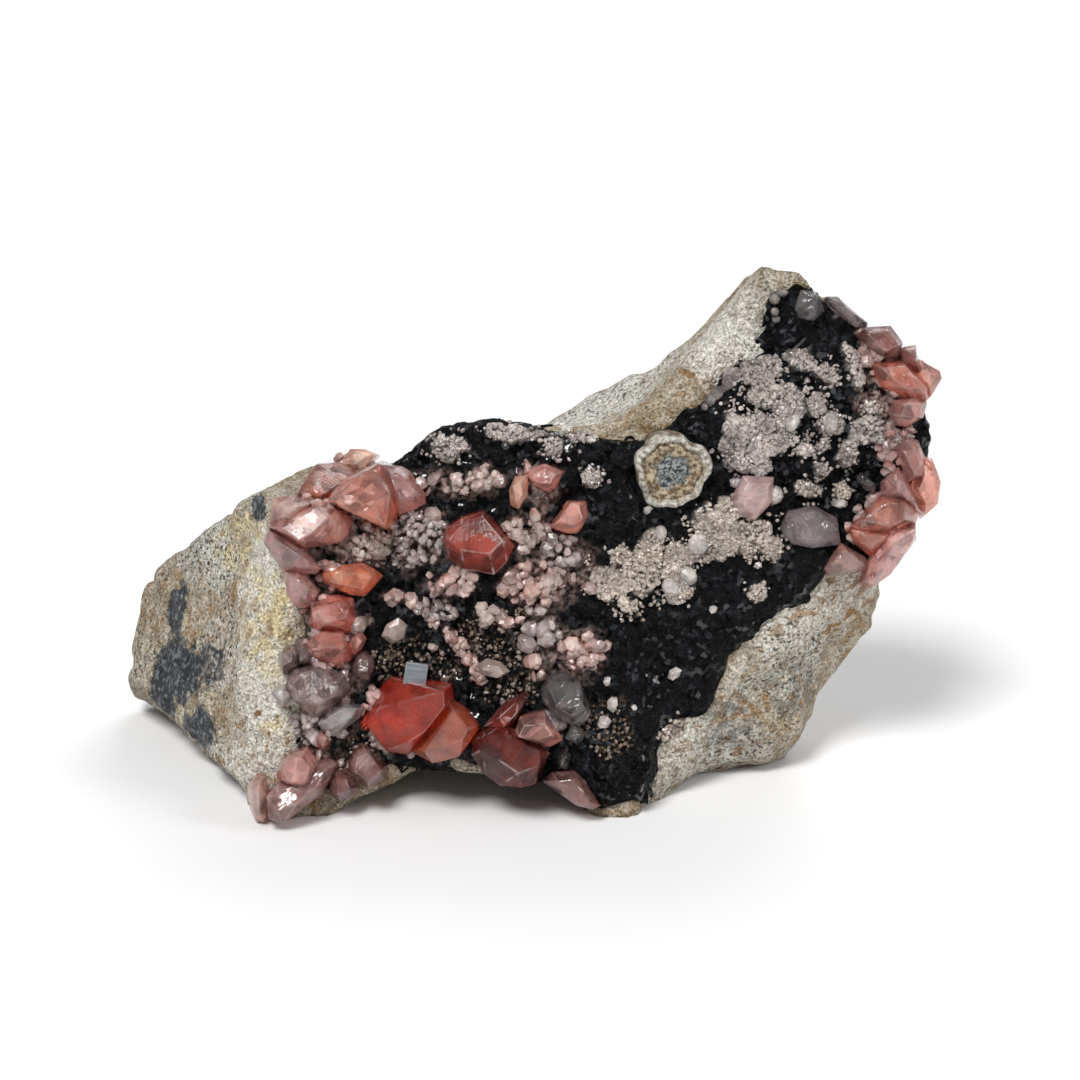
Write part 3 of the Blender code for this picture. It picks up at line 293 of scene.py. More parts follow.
# %% [markdown]
# The rock is easiest to describe as a field: a number that says how far outside the stone a point is. Each
# block of the stone is bounded by broken faces; blocks are joined and hollows taken out with soft corners,
# and noise of several sizes adds lumps. The surface is wherever the field is zero, so the crust, which is a
# layer on the stone, is simply another level of the same field.

# %% Noise and soft joins
LATTICE = 32


def lattice_noise(points, size, seed):
    """Random values from -1 to 1 on a lattice of the given size, blended smoothly between its corners."""
    lattice = np.random.default_rng(seed).uniform(-1.0, 1.0, (LATTICE, LATTICE, LATTICE))
    cell = points / size
    low = np.floor(cell).astype(int)
    share = cell - low
    share = share * share * (3 - 2 * share)
    total = np.zeros(len(points))
    for corner in np.ndindex(2, 2, 2):
        weight = np.prod(np.where(np.array(corner) == 1, share, 1 - share), axis=1)
        index = (low + corner) % LATTICE
        total += weight * lattice[index[:, 0], index[:, 1], index[:, 2]]
    return total


def domes(points, size, seed):
    """Round mounds side by side: one minus the squared distance to the nearest jittered lattice point."""
    jitter = np.random.default_rng(seed).uniform(0.15, 0.85, (LATTICE, LATTICE, LATTICE, 3))
    cell = points / size
    low = np.floor(cell).astype(int)
    nearest = np.full(len(points), 9.0)
    for step in np.ndindex(3, 3, 3):
        home = low + np.array(step) - 1
        index = home % LATTICE
        centre = home + jitter[index[:, 0], index[:, 1], index[:, 2]]
        nearest = np.minimum(nearest, ((cell - centre) ** 2).sum(axis=1))
    return 1 - nearest


def smooth_max(a, b, width):
    """The larger of two fields, with the corner between them rounded over the given width."""
    share = np.clip(0.5 + 0.5 * (a - b) / width, 0, 1)
    return b + (a - b) * share + width * share * (1 - share)


# %% [markdown]
# The stone is a few blocks joined softly, each bounded by the planes it broke along. A pocket is taken out
# of the front, where the crystals grew.

# %% The rock's broken faces
EDGE_ROUND = 1.2
JOIN_ROUND = 3.5
# Each face is (outward direction, distance from the layout's zero along it), in millimetres.
RIGHT_SLAB = (
    ((0.12, -0.98, 0.19), 12.6), ((-0.58, 0.03, 0.81), 27.8), ((-0.48, 0.43, 0.77), 32.6),
    ((0.50, 0.35, 0.79), 58.6), ((0.99, 0.05, -0.11), 37.0), ((0.85, 0.05, -0.52), 25.0),
    ((0.61, -0.70, -0.38), 15.4), ((0.12, 0.95, 0.28), 22.5), ((0.66, 0.74, 0.12), 35.5),
    ((0.30, 0.80, -0.52), 15.5), ((-0.95, 0.20, -0.10), 4.0), ((0.00, 0.00, -1.0), 0.5),
)
PEAK = (
    ((0.12, -0.98, 0.19), 12.6), ((-0.84, 0.06, 0.54), 9.6), ((0.50, 0.35, 0.79), 58.6),
    ((-0.05, 0.80, 0.60), 36.5), ((0.99, 0.05, -0.11), 36.0), ((0.00, 0.00, -1.0), -40.0),
)
MIDDLE_BLOCK = (
    ((-0.05, -0.96, 0.25), 12.4), ((-0.66, 0.25, 0.72), 33.2), ((-0.05, 0.38, 0.92), 36.1),
    ((-0.20, 0.90, 0.38), 23.0), ((0.10, 0.98, -0.10), 18.5), ((0.95, 0.00, 0.10), 12.0),
    ((-0.95, 0.00, 0.00), 30.0), ((0.00, 0.00, -1.0), 0.5),
)
LEFT_END = (
    ((-0.42, -0.87, 0.26), 24.4), ((-0.80, -0.54, 0.27), 32.6), ((-0.98, 0.15, 0.12), 47.4),
    ((-0.91, 0.17, 0.37), 50.8), ((-0.55, 0.34, 0.76), 41.2), ((0.40, -0.88, 0.26), 3.6),
    ((0.35, 0.00, 0.94), 21.6), ((-0.62, -0.38, -0.68), 21.5), ((-0.60, 0.78, 0.18), 40.5),
    ((-0.10, 0.97, 0.20), 21.5), ((0.90, 0.00, 0.00), -6.0), ((0.00, 0.00, -1.0), 0.5),
)
# The swelling, the pocket and the hollow are (middle, half sizes). The arch under the stone gets lower from
# its front to the back. The lumps are (size, height, seed).
BACK_FOOT = ((23, 3, 8), (10, 9, 9))
VUG = ((-10, -13, 20), (8, 7, 10))
BACK_HOLLOW = ((2, 33, 24), (19, 15, 15))
HOLLOW_ROUND, VUG_ROUND = 1.5, 2.0
ARCH_WIDTH, ARCH_HEIGHT, ARCH_MIDDLE = 27.0, 4.0, -5.5
ARCH_FRONT, ARCH_FALL = -10, 0.07
LUMPS = ((10.0, 0.8, 3), (5.0, 0.3, 4))


def block(points, faces):
    """Distance outside a block: the largest distance outside any of its faces, with softened edges."""
    field = None
    for direction, distance in faces:
        outward = np.array(direction) / np.linalg.norm(direction)
        outside = points @ outward - distance
        field = outside if field is None else smooth_max(field, outside, EDGE_ROUND)
    return field


def ellipsoid(points, centre, half_sizes):
    """Rough distance outside: the length of the scaled offset, less one, by the smallest half size."""
    return (np.linalg.norm((points - centre) / half_sizes, axis=1) - 1) * min(half_sizes)


def rock_field(points, pocket=True):
    """Distance outside the rock: blocks joined, hollows taken out and the large lumps added."""
    inside = -block(points, RIGHT_SLAB)
    for faces in (PEAK, MIDDLE_BLOCK, LEFT_END):
        inside = smooth_max(inside, -block(points, faces), JOIN_ROUND)
    inside = smooth_max(inside, -ellipsoid(points, *BACK_FOOT), HOLLOW_ROUND)
    field = smooth_max(-inside, -ellipsoid(points, *VUG), VUG_ROUND) if pocket else -inside
    field = smooth_max(field, -ellipsoid(points, *BACK_HOLLOW), HOLLOW_ROUND)
    radius = (ARCH_WIDTH ** 2 / 4 + ARCH_HEIGHT ** 2) / (2 * ARCH_HEIGHT)
    below = points[:, 2] + radius - ARCH_HEIGHT + ARCH_FALL * (points[:, 1] - ARCH_FRONT)
    field = smooth_max(field, radius - np.hypot(points[:, 0] - ARCH_MIDDLE, below), HOLLOW_ROUND)
    for size, height, seed in LUMPS:
        field += height * lattice_noise(points, size, seed)
    return field


print("faces in the rock's blocks:", sum(len(b) for b in (RIGHT_SLAB, PEAK, MIDDLE_BLOCK, LEFT_END)))

# %% [markdown]
# A field becomes a surface by following rays. All rays march together as one array; each notes the step in
# which it first crosses, and the crossing is then halved down. The coarse field finds the step and the
# finer one, with the small relief, gives the place, which keeps the work short.

# %% Following rays to a surface
def crossings(starts, rays, reaches, coarse, fine, spread=1.2, halvings=11):
    """Where each ray first changes side: a step by the coarse field, then halvings by the fine one.

    Rays are steps per millimetre from their starts. Returns the places and whether each was found.
    """
    side = coarse(starts + rays * reaches[0]) > 0
    found = np.zeros(len(rays), bool)
    low = np.full(len(rays), reaches[0])
    high = np.full(len(rays), reaches[-1])
    for before, after in zip(reaches[:-1], reaches[1:]):
        open_rays = np.flatnonzero(~found)
        if not len(open_rays):
            break
        crossed = (coarse(starts[open_rays] + rays[open_rays] * after) > 0) != side[open_rays]
        hits = open_rays[crossed]
        found[hits] = True
        margin = math.copysign(spread, after - before)
        low[hits], high[hits] = before - margin, after + margin
    for _ in range(halvings):
        middle = (low + high) / 2
        beyond = (fine(starts + rays * middle[:, None]) > 0) != side
        high = np.where(beyond, middle, high)
        low = np.where(beyond, low, middle)
    return starts + rays * ((low + high) / 2)[:, None], found


def make_piece(name, points, faces, finish, on_points=None, smooth=True, on_faces=None):
    """A mesh piece in the frame's place: layout points, arrays of faces and what is painted on them."""
    faces = [np.asarray(part) for part in (faces if isinstance(faces, list) else [faces])]
    mesh = bpy.data.meshes.new(name)
    mesh.vertices.add(len(points))
    mesh.vertices.foreach_set("co", in_metres(points).astype(np.float32).ravel())
    totals = np.concatenate([np.full(len(part), part.shape[1]) for part in faces])
    mesh.loops.add(int(totals.sum()))
    corners = np.concatenate([part.ravel() for part in faces])
    mesh.loops.foreach_set("vertex_index", corners.astype(np.int32))
    mesh.polygons.add(len(totals))
    mesh.polygons.foreach_set("loop_start", (np.cumsum(totals) - totals).astype(np.int32))
    mesh.polygons.foreach_set("loop_total", totals.astype(np.int32))
    mesh.polygons.foreach_set("use_smooth", np.full(len(totals), smooth))
    mesh.update(calc_edges=True)
    painted_on = [(words, values, "POINT") for words, values in (on_points or {}).items()]
    painted_on += [(words, values, "FACE") for words, values in (on_faces or {}).items()]
    for words, values, kind in painted_on:
        colour = values.ndim == 2
        layer = mesh.attributes.new(words, "FLOAT_COLOR" if colour else "FLOAT", kind)
        if colour and values.shape[1] == 3:
            values = np.concatenate([values, np.ones((len(values), 1))], 1)
        layer.data.foreach_set("color" if colour else "value", values.astype(np.float32).ravel())
    mesh.materials.append(finish)
    piece = bpy.data.objects.new(name, mesh)
    bpy.context.scene.collection.objects.link(piece)
    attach(piece, "root")
    return piece


def squares(number):
    """The square faces between neighbours in a grid of point numbers."""
    corners = [number[:-1, :-1], number[1:, :-1], number[1:, 1:], number[:-1, 1:]]
    return np.stack(corners, -1).reshape(-1, 4)


def cube_directions(cells):
    """Directions over a whole sphere from a square grid on each side of a cube, and their square faces."""
    side = np.tan(np.linspace(-math.pi / 4, math.pi / 4, cells + 1))
    across, up = (a.ravel() for a in np.meshgrid(side, side, indexing="ij"))
    one = np.ones_like(across)
    sides = [
        np.stack([one, across, up], 1), np.stack([-one, up, across], 1),
        np.stack([up, one, across], 1), np.stack([across, -one, up], 1),
        np.stack([across, up, one], 1), np.stack([up, across, -one], 1),
    ]
    points = np.concatenate(sides)
    points /= np.linalg.norm(points, axis=1)[:, None]
    side_quads = squares(np.arange((cells + 1) ** 2).reshape(cells + 1, cells + 1))
    quads = np.concatenate([side_quads + n * (cells + 1) ** 2 for n in range(6)])
    _, first, index = np.unique(np.round(points, 6), axis=0, return_index=True, return_inverse=True)
    return points[first], index.reshape(-1)[quads]


# %% [markdown]
# Where the front of the stone lies behind a place on the drawing plane is asked again and again: for the
# patches of stain, for the crust and for each crystal. `seat` answers it for many places at once.

# %% The ground behind the drawing plane
FAR, NEAR = 60.0, -60.0
SEAT_STEPS = 161
COARSE_EDGE, FINE_EDGE = 2.4, 0.9
PATCH_PAST, PATCH_STEEPNESS = 1.8, 1.6


def seat(places, coarse=rock_field, fine=None):
    """The front of a field behind each place of the drawing plane, along AWAY from the viewer inwards.

    Returns the ground points and whether each line meets the stone.
    """
    starts = np.asarray(places, float) @ PLANE
    rays = np.broadcast_to(AWAY, starts.shape)
    return crossings(starts, rays, np.linspace(NEAR, FAR, SEAT_STEPS), coarse, fine or coarse)


def slopes(points, field=rock_field, step=0.3):
    """The outward direction of a field at each point, from its change over a small step along each axis."""
    change = [field(points + axis) - field(points - axis) for axis in step * np.eye(3)]
    normal = np.stack(change, 1)
    return normal / np.linalg.norm(normal, axis=1)[:, None]


def grounded(rows):
    """Rows of patches whose place on the drawing plane is replaced by the ground behind it."""
    return [(middle, *row[1:]) for middle, row in zip(seat([row[0] for row in rows])[0], rows)]


def patches(points, rows, seed, ragged=0.35, depth=7.0):
    """Patches with ragged edges: 1 in the middle of any, 0.5 on its ellipse round its ground, then 0.

    Each row is (ground, half sizes, turn in degrees, strength). The scaled distance from the ground gets
    noise added before it is turned into a share.
    """
    share = np.zeros(len(points))
    for number, (middle, half_sizes, turn, strength) in enumerate(rows):
        near = np.flatnonzero(np.abs(points - middle).max(axis=1) < 1.5 * max(*half_sizes, depth))
        offset = points[near] - middle
        flat, deep = on_plane(offset), offset @ AWAY
        turn = math.radians(turn)
        along = flat[:, 0] * math.cos(turn) + flat[:, 1] * math.sin(turn)
        over = flat[:, 1] * math.cos(turn) - flat[:, 0] * math.sin(turn)
        far = np.sqrt((along / half_sizes[0]) ** 2 + (over / half_sizes[1]) ** 2 + (deep / depth) ** 2)
        edge = np.flatnonzero(far < PATCH_PAST)
        near, far = near[edge], far[edge]
        wavy = ragged * lattice_noise(points[near], COARSE_EDGE, seed)
        far += wavy + 0.6 * ragged * lattice_noise(points[near], FINE_EDGE, seed + 1)
        share[near] = np.maximum(share[near], strength * np.clip(0.5 + (1 - far) * PATCH_STEEPNESS, 0, 1))
    return share


print("the ground behind (0, 20) is at", np.round(seat([(0, 20)])[0][0], 2).tolist())

# %% [markdown]
# ## The pale rock
#
# The matrix is a fine-grained pale stone: cream to white, speckled with ochre and dark grains, with a
# smooth dark stain on its left end, a yellowish area beside the crystals and a whiter band along the top.
# Its surface is worked out on six grids of directions from its heart, with smaller relief in three sizes
# added to the field.

# %% The rock's finish
# Each layer is (painted mask, size of its speckle in mm, where the speckle starts and is full, detail,
# colour).
ROCK_LAYERS = (
    ("bluish", 1.3, 0.36, 0.56, 6.0, (0.76, 0.79, 0.77)),
    ("chalk", 0.9, 0.27, 0.46, 5.0, (0.92, 0.90, 0.85)),
    ("yellow", 1.5, 0.38, 0.60, 5.0, (0.88, 0.76, 0.46)),
    ("grey", 1.1, 0.36, 0.60, 5.0, (0.27, 0.27, 0.26)),
    ("ochre", 1.3, 0.51, 0.60, 6.0, (0.36, 0.21, 0.085)),
    ("dark", 0.42, 0.55, 0.61, 4.0, (0.05, 0.052, 0.055)),
)


def rock_finish():
    """Beige stone with the layers above over it, fine grains, a smooth dark stain and a rough relief."""
    made, tree, shader = new_material("pale_rock", roughness=0.9, specular_ior_level=0.3)
    colour = blended(tree, speckle(tree, 2.0, 0.38, 0.62, 6.0), (0.42, 0.34, 0.23), (0.68, 0.61, 0.50))
    for mask, *grains, layer in ROCK_LAYERS:
        share = maths(tree, "MULTIPLY", painted(tree, mask).outputs["Fac"], speckle(tree, *grains))
        colour = blended(tree, share, colour, layer)
    grain = blended(tree, speckle(tree, 0.30, 0.35, 0.65, 4.0), (0.58, 0.55, 0.50), (1.22, 1.21, 1.19))
    colour = blended(tree, 1.0, colour, grain, "MULTIPLY")
    stain = painted(tree, "stain").outputs["Fac"]
    stain_mask = speckle(tree, 0.6, 0.50, 0.66, 5.0)
    stain_colour = blended(tree, stain_mask, (0.028, 0.032, 0.038), (0.22, 0.24, 0.25))
    edge = maths(tree, "ADD", stain, maths(tree, "MULTIPLY", speckle(tree, 0.7, 0.3, 0.7, 5.0), 0.5))
    edge = spanned(tree, edge, 0.72, 1.02)
    colour = blended(tree, edge, colour, stain_colour)
    tree.links.new(colour, shader.inputs["Base Color"])
    tree.links.new(spanned(tree, edge, start=0.92, end=0.38), shader.inputs["Roughness"])
    coarse = bumped(tree, speckle(tree, 1.6, 0.25, 0.75, 6.0), 1.1, 0.8)
    fine = bumped(tree, speckle(tree, 0.34, 0.3, 0.7, 4.0), 0.30, 1.0, coarse)
    tree.links.new(fine, shader.inputs["Normal"])
    return made


ROCK_FINISH = rock_finish()

# %% [markdown]
# Six square grids of directions, seen from the heart, cover a whole sphere. One ray per direction meets the
# field, and the squares of the grids become the rock's faces.

# %% The rock's surface
HEART = np.array([2.0, 3.0, 20.0])
REACH = np.array([46.0, 24.0, 30.0])
ROCK_CELLS = 127
ROCK_STEPS = np.linspace(4, 60, 30)
ROCK_RELIEF = ((3.6, 0.35, 10), (1.9, 0.30, 11), (1.1, 0.16, 12))


def relief(points, octaves, kind=lattice_noise):
    """The sum of noise or mounds of several sizes, each (size, height, seed)."""
    return sum(height * kind(points, size, seed) for size, height, seed in octaves)


def rock_with_relief(points):
    """The rock's field with its small relief, and flat where it rests."""
    return np.maximum(rock_field(points) + relief(points, ROCK_RELIEF), -points[:, 2])


def rock_coarse(points):
    """The rock's field without the small relief, flat where it rests."""
    return np.maximum(rock_field(points), -points[:, 2])


directions, rock_quads = cube_directions(ROCK_CELLS)
rays = directions * REACH / REACH.mean()
hearts = np.broadcast_to(HEART, rays.shape)
rock_points, _ = crossings(hearts, rays, ROCK_STEPS, rock_coarse, rock_with_relief)
rock_points[:, 2] = np.maximum(rock_points[:, 2], 0.0)
heights = rock_points[:, 2].min().round(2), rock_points[:, 2].max().round(2)
print("points on the rock:", len(rock_points), "lowest and highest:", heights)

# %% [markdown]
# The masks are painted on the points from patches, each a place, half sizes, a turn and a strength.

# %% Painting the rock
STAINS = (((-39.2, 17.2), (1.3, 3.4), -12, 1), ((-38.8, 10.6), (3.5, 4.2), 0, 1),
          ((-40.8, 8.0), (2.2, 3.6), 0, 1), ((-36.0, 4.2), (2.8, 2.6), 20, 0.9),
          ((-34.8, 11.5), (2.4, 3.0), 0, 0.72), ((-28.7, 28.8), (1.0, 1.9), 15, 1),
          ((-38.5, 1.4), (3.0, 1.6), -25, 0.8))
YELLOWS = (((-26.9, 4.7), (2.3, 1.7), 0, 0.9), ((-27.5, 16.5), (3.6, 5.5), 0, 1),
           ((-31, 26), (3.4, 2.4), 35, 1), ((-26.5, 20.5), (3, 2.6), 0, 0.9))
CHALKS = (((-26.7, 5.0), (3.7, 3.5), 0, 1), ((-27, 21), (5.5, 6.0), 0, 1),
          ((-27.5, 10.5), (4.0, 6.5), 0, 0.9), ((-29.5, 0), (5, 4.5), -20, 0.8),
          ((8, 39.6), (13, 3.4), 24, 1), ((21.5, 46.5), (4.2, 5.6), 20, 1),
          ((27.2, 46.7), (3.8, 2.0), -12, 1), ((0, 37.6), (6, 1.6), 0, 0.8), ((20, 3), (4, 7), -28, 0.7),
          ((30, 17), (6, 5), 0, 0.6), ((37, 21), (3, 3), 0, 0.6))
BLUISH = (((-34, 24), (5, 5), 0, 1), ((-33, 14), (3, 5), 0, 0.8), ((-34, 1), (4, 3), 0, 0.9),
          ((10, 41.2), (9, 1.6), 24, 1), ((30, 12), (5, 5), 40, 0.9), ((23, 2), (5, 3), 0, 0.8))
ROUGH_REAR = (((10, 44.5), (8, 3.2), 30, 1),)
TAN = (((-26.4, 5.2), (2.6, 2.3), 0, 1),)
GREY_FOOT = (((23, 5.5), (4, 3), 0, 1), ((30.5, 8.5), (3, 3.5), 40, 0.8), ((-37, 24), (2.5, 1.5), 40, 0.5))


def rock_paint(points):
    """The masks that the rock's finish reads, each from 0 to 1."""
    soft = 0.5 + 0.5 * lattice_noise(points, 5.0, 21)
    chalk = patches(points, grounded(CHALKS), 45, 0.4)
    rear = patches(points, grounded(ROUGH_REAR), 49, 0.4)
    bluish = patches(points, grounded(BLUISH), 53, 0.5)
    tan = patches(points, grounded(TAN), 47, 0.3)
    grey_foot = patches(points, grounded(GREY_FOOT), 51, 0.4)
    back = points[:, 1] > 8
    rim = np.clip(4 * chalk * (1 - chalk), 0, 1)
    underside = np.clip((4 - points[:, 2]) / 5, 0, 1)
    return {
        "stain": patches(points, grounded(STAINS), 31, 0.3),
        "yellow": patches(points, grounded(YELLOWS), 41, 0.5),
        "chalk": chalk,
        "bluish": np.maximum(bluish, 0.6 * np.clip(2 * soft - 0.9, 0, 1)),
        "ochre": np.clip(0.3 + 0.5 * (1 - soft) + 0.6 * rear + 0.5 * rim - 0.5 * chalk + 1.5 * tan, 0, 1),
        "dark": np.clip(0.30 + 0.6 * bluish + 0.35 * soft * (1 - chalk) + 0.4 * rear + 0.2 * back, 0, 0.9),
        "grey": np.clip(0.4 * underside + grey_foot + 0.4 * rear + 0.25 * back, 0, 0.9),
    }


rock = make_piece("rock", rock_points, rock_quads, ROCK_FINISH, rock_paint(rock_points))
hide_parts("matrix_rock")
print("rock:", len(rock.data.polygons), "faces")

# %% [markdown]
# ## The black crust
#
# Manganese oxide grew over the front as a layer about a millimetre thick: low round mounds, fine granules
# on the mounds, and here and there a scatter of brown grit, beige sugar or a pink mat under the crystals.
# The layer is another level of the rock's field. Its rays fan out from a point behind the stone, so they
# meet both the front and the parts that turn towards the sides. Outside its outline the layer thins and
# dives under the rock's surface, and its rim closes to a point in the rock's heart, where nobody sees it.

# %% Where the sugar, the grit and the pink mat lie
# Each patch is (place, half sizes, turn, strength) on the drawing plane, listed by the solid whose place it
# takes.
SUGAR = {
    "quartz_patch_upper": (
        ((24.9, 43.1), (2.4, 1.6), 10, 1), ((30.0, 44.6), (1.8, 1.0), -20, 1),
        ((26.4, 40.6), (3.4, 2.4), 0, 1), ((25.2, 37.9), (3.1, 2.0), 0, 1), ((23.4, 35), (2.0, 2.2), 0, 1),
        ((27.8, 36.1), (2.8, 1.5), 0, 1), ((30, 35), (1.5, 0.9), 0, 1), ((28.9, 38.6), (1.2, 1.6), 0, 1),
        ((24.8, 33.6), (1.6, 1.2), 0, 1)),
    "quartz_patch_top": (
        ((32.7, 43.1), (1.5, 1.1), -30, 1), ((35.2, 45), (0.6, 1.3), 30, 1),
        ((36, 42.8), (0.6, 1.1), 20, 1), ((33, 37.9), (1.4, 1.4), 0, 1), ((31.6, 39.8), (1.0, 1.4), 0, 1),
        ((32.4, 35.6), (0.9, 0.8), 0, 1)),
    "quartz_patch_right": (
        ((37.1, 37.3), (1.9, 1.5), 0, 1), ((37.5, 39.5), (0.9, 0.8), 0, 1),
        ((34.9, 34.6), (1.0, 1.3), 0, 1), ((32.3, 32.8), (0.7, 0.9), 0, 1),
        ((39.5, 36), (1.4, 1.0), 0, 1)),
    "quartz_patch_middle": (
        ((20.2, 26.2), (2.2, 2.6), 0, 1), ((22.5, 28.5), (1.5, 1.2), 0, 1),
        ((24.6, 26.1), (3.2, 2.1), 0, 1), ((26.9, 24.6), (1.2, 1.4), 0, 1),
        ((18.6, 24.6), (1.1, 1.0), 0, 1), ((30.8, 30.6), (1.5, 1.2), 0, 1),
        ((34.6, 30.6), (1.0, 1.0), 0, 1), ((25.2, 19.6), (1.1, 0.9), 0, 1)),
    "quartz_patch_lower": (
        ((12.8, 21.7), (4.0, 2.5), 10, 1), ((8.9, 20.9), (1.6, 1.5), 0, 1),
        ((13.8, 24.8), (1.4, 1.3), 0, 1), ((16.7, 23.7), (1.5, 1.3), 0, 1),
        ((11.4, 18.1), (1.3, 1.3), 0, 1), ((16.4, 19.8), (1.6, 1.2), 0, 1),
        ((10.4, 23.6), (1.2, 1.0), 0, 1), ((16.6, 4.9), (1.6, 1.0), 30, 1)),
    "quartz_patch_hump": (
        ((-8.3, 35.4), (2.0, 1.5), 0, 1), ((-0.3, 36.7), (3.1, 0.8), -4, 1),
        ((3.8, 35.4), (1.6, 1.2), 0, 1), ((6.2, 36.1), (1.4, 0.6), 0, 1), ((7.7, 32), (1.2, 0.9), 0, 1)),
}
MATS = (
    ((-8.6, 31.4), (3.2, 1.6), 0, 1), ((-4.2, 31.4), (3.0, 1.8), 0, 1), ((-11, 25.6), (3.4, 3.2), 0, 1),
    ((0.4, 26.6), (2.4, 2.0), 0, 1), ((2.8, 22), (4.4, 3.4), 0, 1), ((-7.3, 20.9), (2.8, 1.8), 0, 1),
    ((-21.4, 13), (3.4, 9), 0, 1), ((-20.4, 26), (5, 5), 0, 1), ((-23, 0.5), (4, 3), 0, 1),
    ((5.6, 13.4), (3.4, 2.6), 0, 1), ((40, 42), (3.4, 4.6), 0, 1), ((40, 28), (4.5, 7), 0, 1),
    ((2, 31.5), (2.4, 2), 0, 1), ((-16.2, 25), (2.2, 2.2), 0, 1),
)
GRIT = (
    ((-11.5, 11.8), (5.5, 2.6), 0, 1), ((-2, 14.8), (5, 3), 0, 1), ((9.5, 4.4), (2.2, 3), 0, 1),
    ((10.5, 21), (2, 2), 0, 1), ((-1, 8.8), (3, 2), 0, 1), ((6.4, 6), (1.6, 2), 0, 1),
    ((-17, 2.6), (2.4, 2.2), 0, 1), ((-15, 23.4), (2, 1.2), 0, 1),
)
ALL_SUGAR = sum(SUGAR.values(), ())
SUGAR_GROUND = grounded(ALL_SUGAR)
BED_HOLES = ((1.3, 0.28, 72),)
BED_EDGE, BED_STEEPNESS = 0.42, 5
print("sugary patches:", len(ALL_SUGAR), "mats:", len(MATS), "grit:", len(GRIT))


def bed(points):
    """Where the sugar lies: 1 within its ragged patches and 0 outside, over a narrow edge."""
    laid = patches(points, SUGAR_GROUND, 71, 0.45, 5.0)
    near = laid > 0.1
    laid[near] += relief(points[near], BED_HOLES)
    return np.clip((laid - BED_EDGE) * BED_STEEPNESS, 0, 1)


# %% [markdown]
# The crust's thickness falls off past its outline, and its relief is made of round mounds, as the oxide
# grows.

# %% The crust's outline and thickness
CRUST_THICKNESS = 1.2
GAP = 0.35
CRUST_LEVEL = CRUST_THICKNESS + GAP
FULL_LEVEL = CRUST_LEVEL - 0.15
EDGE_LEVEL, EDGE_STEEPNESS, SUNK_LEVEL = 0.25, 1.3, -0.9
SUGAR_BED = 0.45
CRUST_OUTLINE = np.array([
    (-16, 36), (-15, 37), (-11.5, 39.5), (-3.5, 39.8), (-1.5, 38), (0.5, 37.4), (4, 36.5), (7, 36.3),
    (9.7, 36.5), (12.1, 36.2), (14.7, 36.9), (17.3, 38.5), (19.3, 39.9), (20.8, 41.1), (21.9, 42.1),
    (22.9, 43.3), (24.2, 44.6), (26.4, 45.2), (28.6, 44.8), (30.2, 45.8), (28.0, 47.9), (25.3, 48.6),
    (26, 50.1), (26, 51.3), (26.9, 52.3), (29.3, 52.2), (32.2, 50.6), (37, 48), (42, 42.5), (45, 36),
    (44.5, 27.5), (39.5, 22.6), (35, 22), (32.9, 21.7), (30.2, 18.6), (26.9, 16.6), (24, 13.8),
    (22.7, 12.4), (22.2, 10), (20.6, 7.7), (19.5, 6.5), (17.5, 5.8), (15.4, 4.9), (14.6, 3.1), (14.3, 1.2),
    (14, -0.5), (13, -2.7), (8.5, -3.5), (5, -2.5), (1, -0.8), (-6, 1.2), (-12.5, 1.0), (-18, -0.4),
    (-24.5, -2.5), (-23.2, 2), (-23.4, 7.5), (-24.6, 10.5), (-23.6, 14.5), (-22.8, 18.5), (-24.4, 22),
    (-25.2, 25), (-25.6, 27.5), (-22.5, 29.5), (-19, 32),
])
CRUST_BACK, CRUST_BACK_SLOPE = -7.3, -0.086
# Noise and mounds are (size, height, seed).
RAGGED_EDGE = ((2.2, 0.50, 61), (0.8, 0.35, 62))
CRUST_MOUNDS = ((3.1, 0.60, 63), (1.5, 0.42, 64), (0.75, 0.20, 65))
CRUST_SWELLS = ((4.5, 0.50, 66),)
MOUNDS_SUNK = 0.90


def inside_by(places, outline):
    """How far inside an outline each place is, negative outside: the distance to the nearest side, signed.

    The sign comes from how often a line to the right crosses the outline.
    """
    nearest = np.full(len(places), 1e9)
    inside = np.zeros(len(places), bool)
    for (x0, y0), (x1, y1) in zip(outline, np.roll(outline, -1, axis=0)):
        side = np.array([x1 - x0, y1 - y0])
        offset = places - (x0, y0)
        share = np.clip(offset @ side / (side @ side), 0, 1)
        nearest = np.minimum(nearest, np.linalg.norm(offset - share[:, None] * side, axis=1))
        spans = (y0 > places[:, 1]) != (y1 > places[:, 1])
        crossing = x0 + (places[:, 1] - y0) * (x1 - x0) / (y1 - y0 if y1 != y0 else 1)
        inside ^= spans & (places[:, 0] < crossing)
    return np.where(inside, nearest, -nearest)


def crust_cover(points):
    """How far inside the crust's ragged edge: its outline at the front, a slanting limit behind."""
    flat = on_plane(points)
    back = CRUST_BACK + CRUST_BACK_SLOPE * flat[:, 1] - points @ AWAY
    cover = np.minimum(inside_by(flat, CRUST_OUTLINE), back)
    for size, height, seed in RAGGED_EDGE:
        cover += height * lattice_noise(points, size, seed)
    return cover


def crust_thickness(points):
    """The crust's level over the rock, in mm: full inside the outline and under the surface past it."""
    return np.clip(EDGE_LEVEL + EDGE_STEEPNESS * crust_cover(points), SUNK_LEVEL, FULL_LEVEL)


def crust_relief(points):
    """Mounds of three sizes with creases between them and a bed under the sugar, in mm outwards."""
    mounds = relief(points, CRUST_MOUNDS, domes)
    return mounds + relief(points, CRUST_SWELLS) - MOUNDS_SUNK + SUGAR_BED * bed(points)


def crust_coarse(points):
    """The field of the crust's outside, without relief."""
    return rock_field(points) - CRUST_LEVEL + 0.5


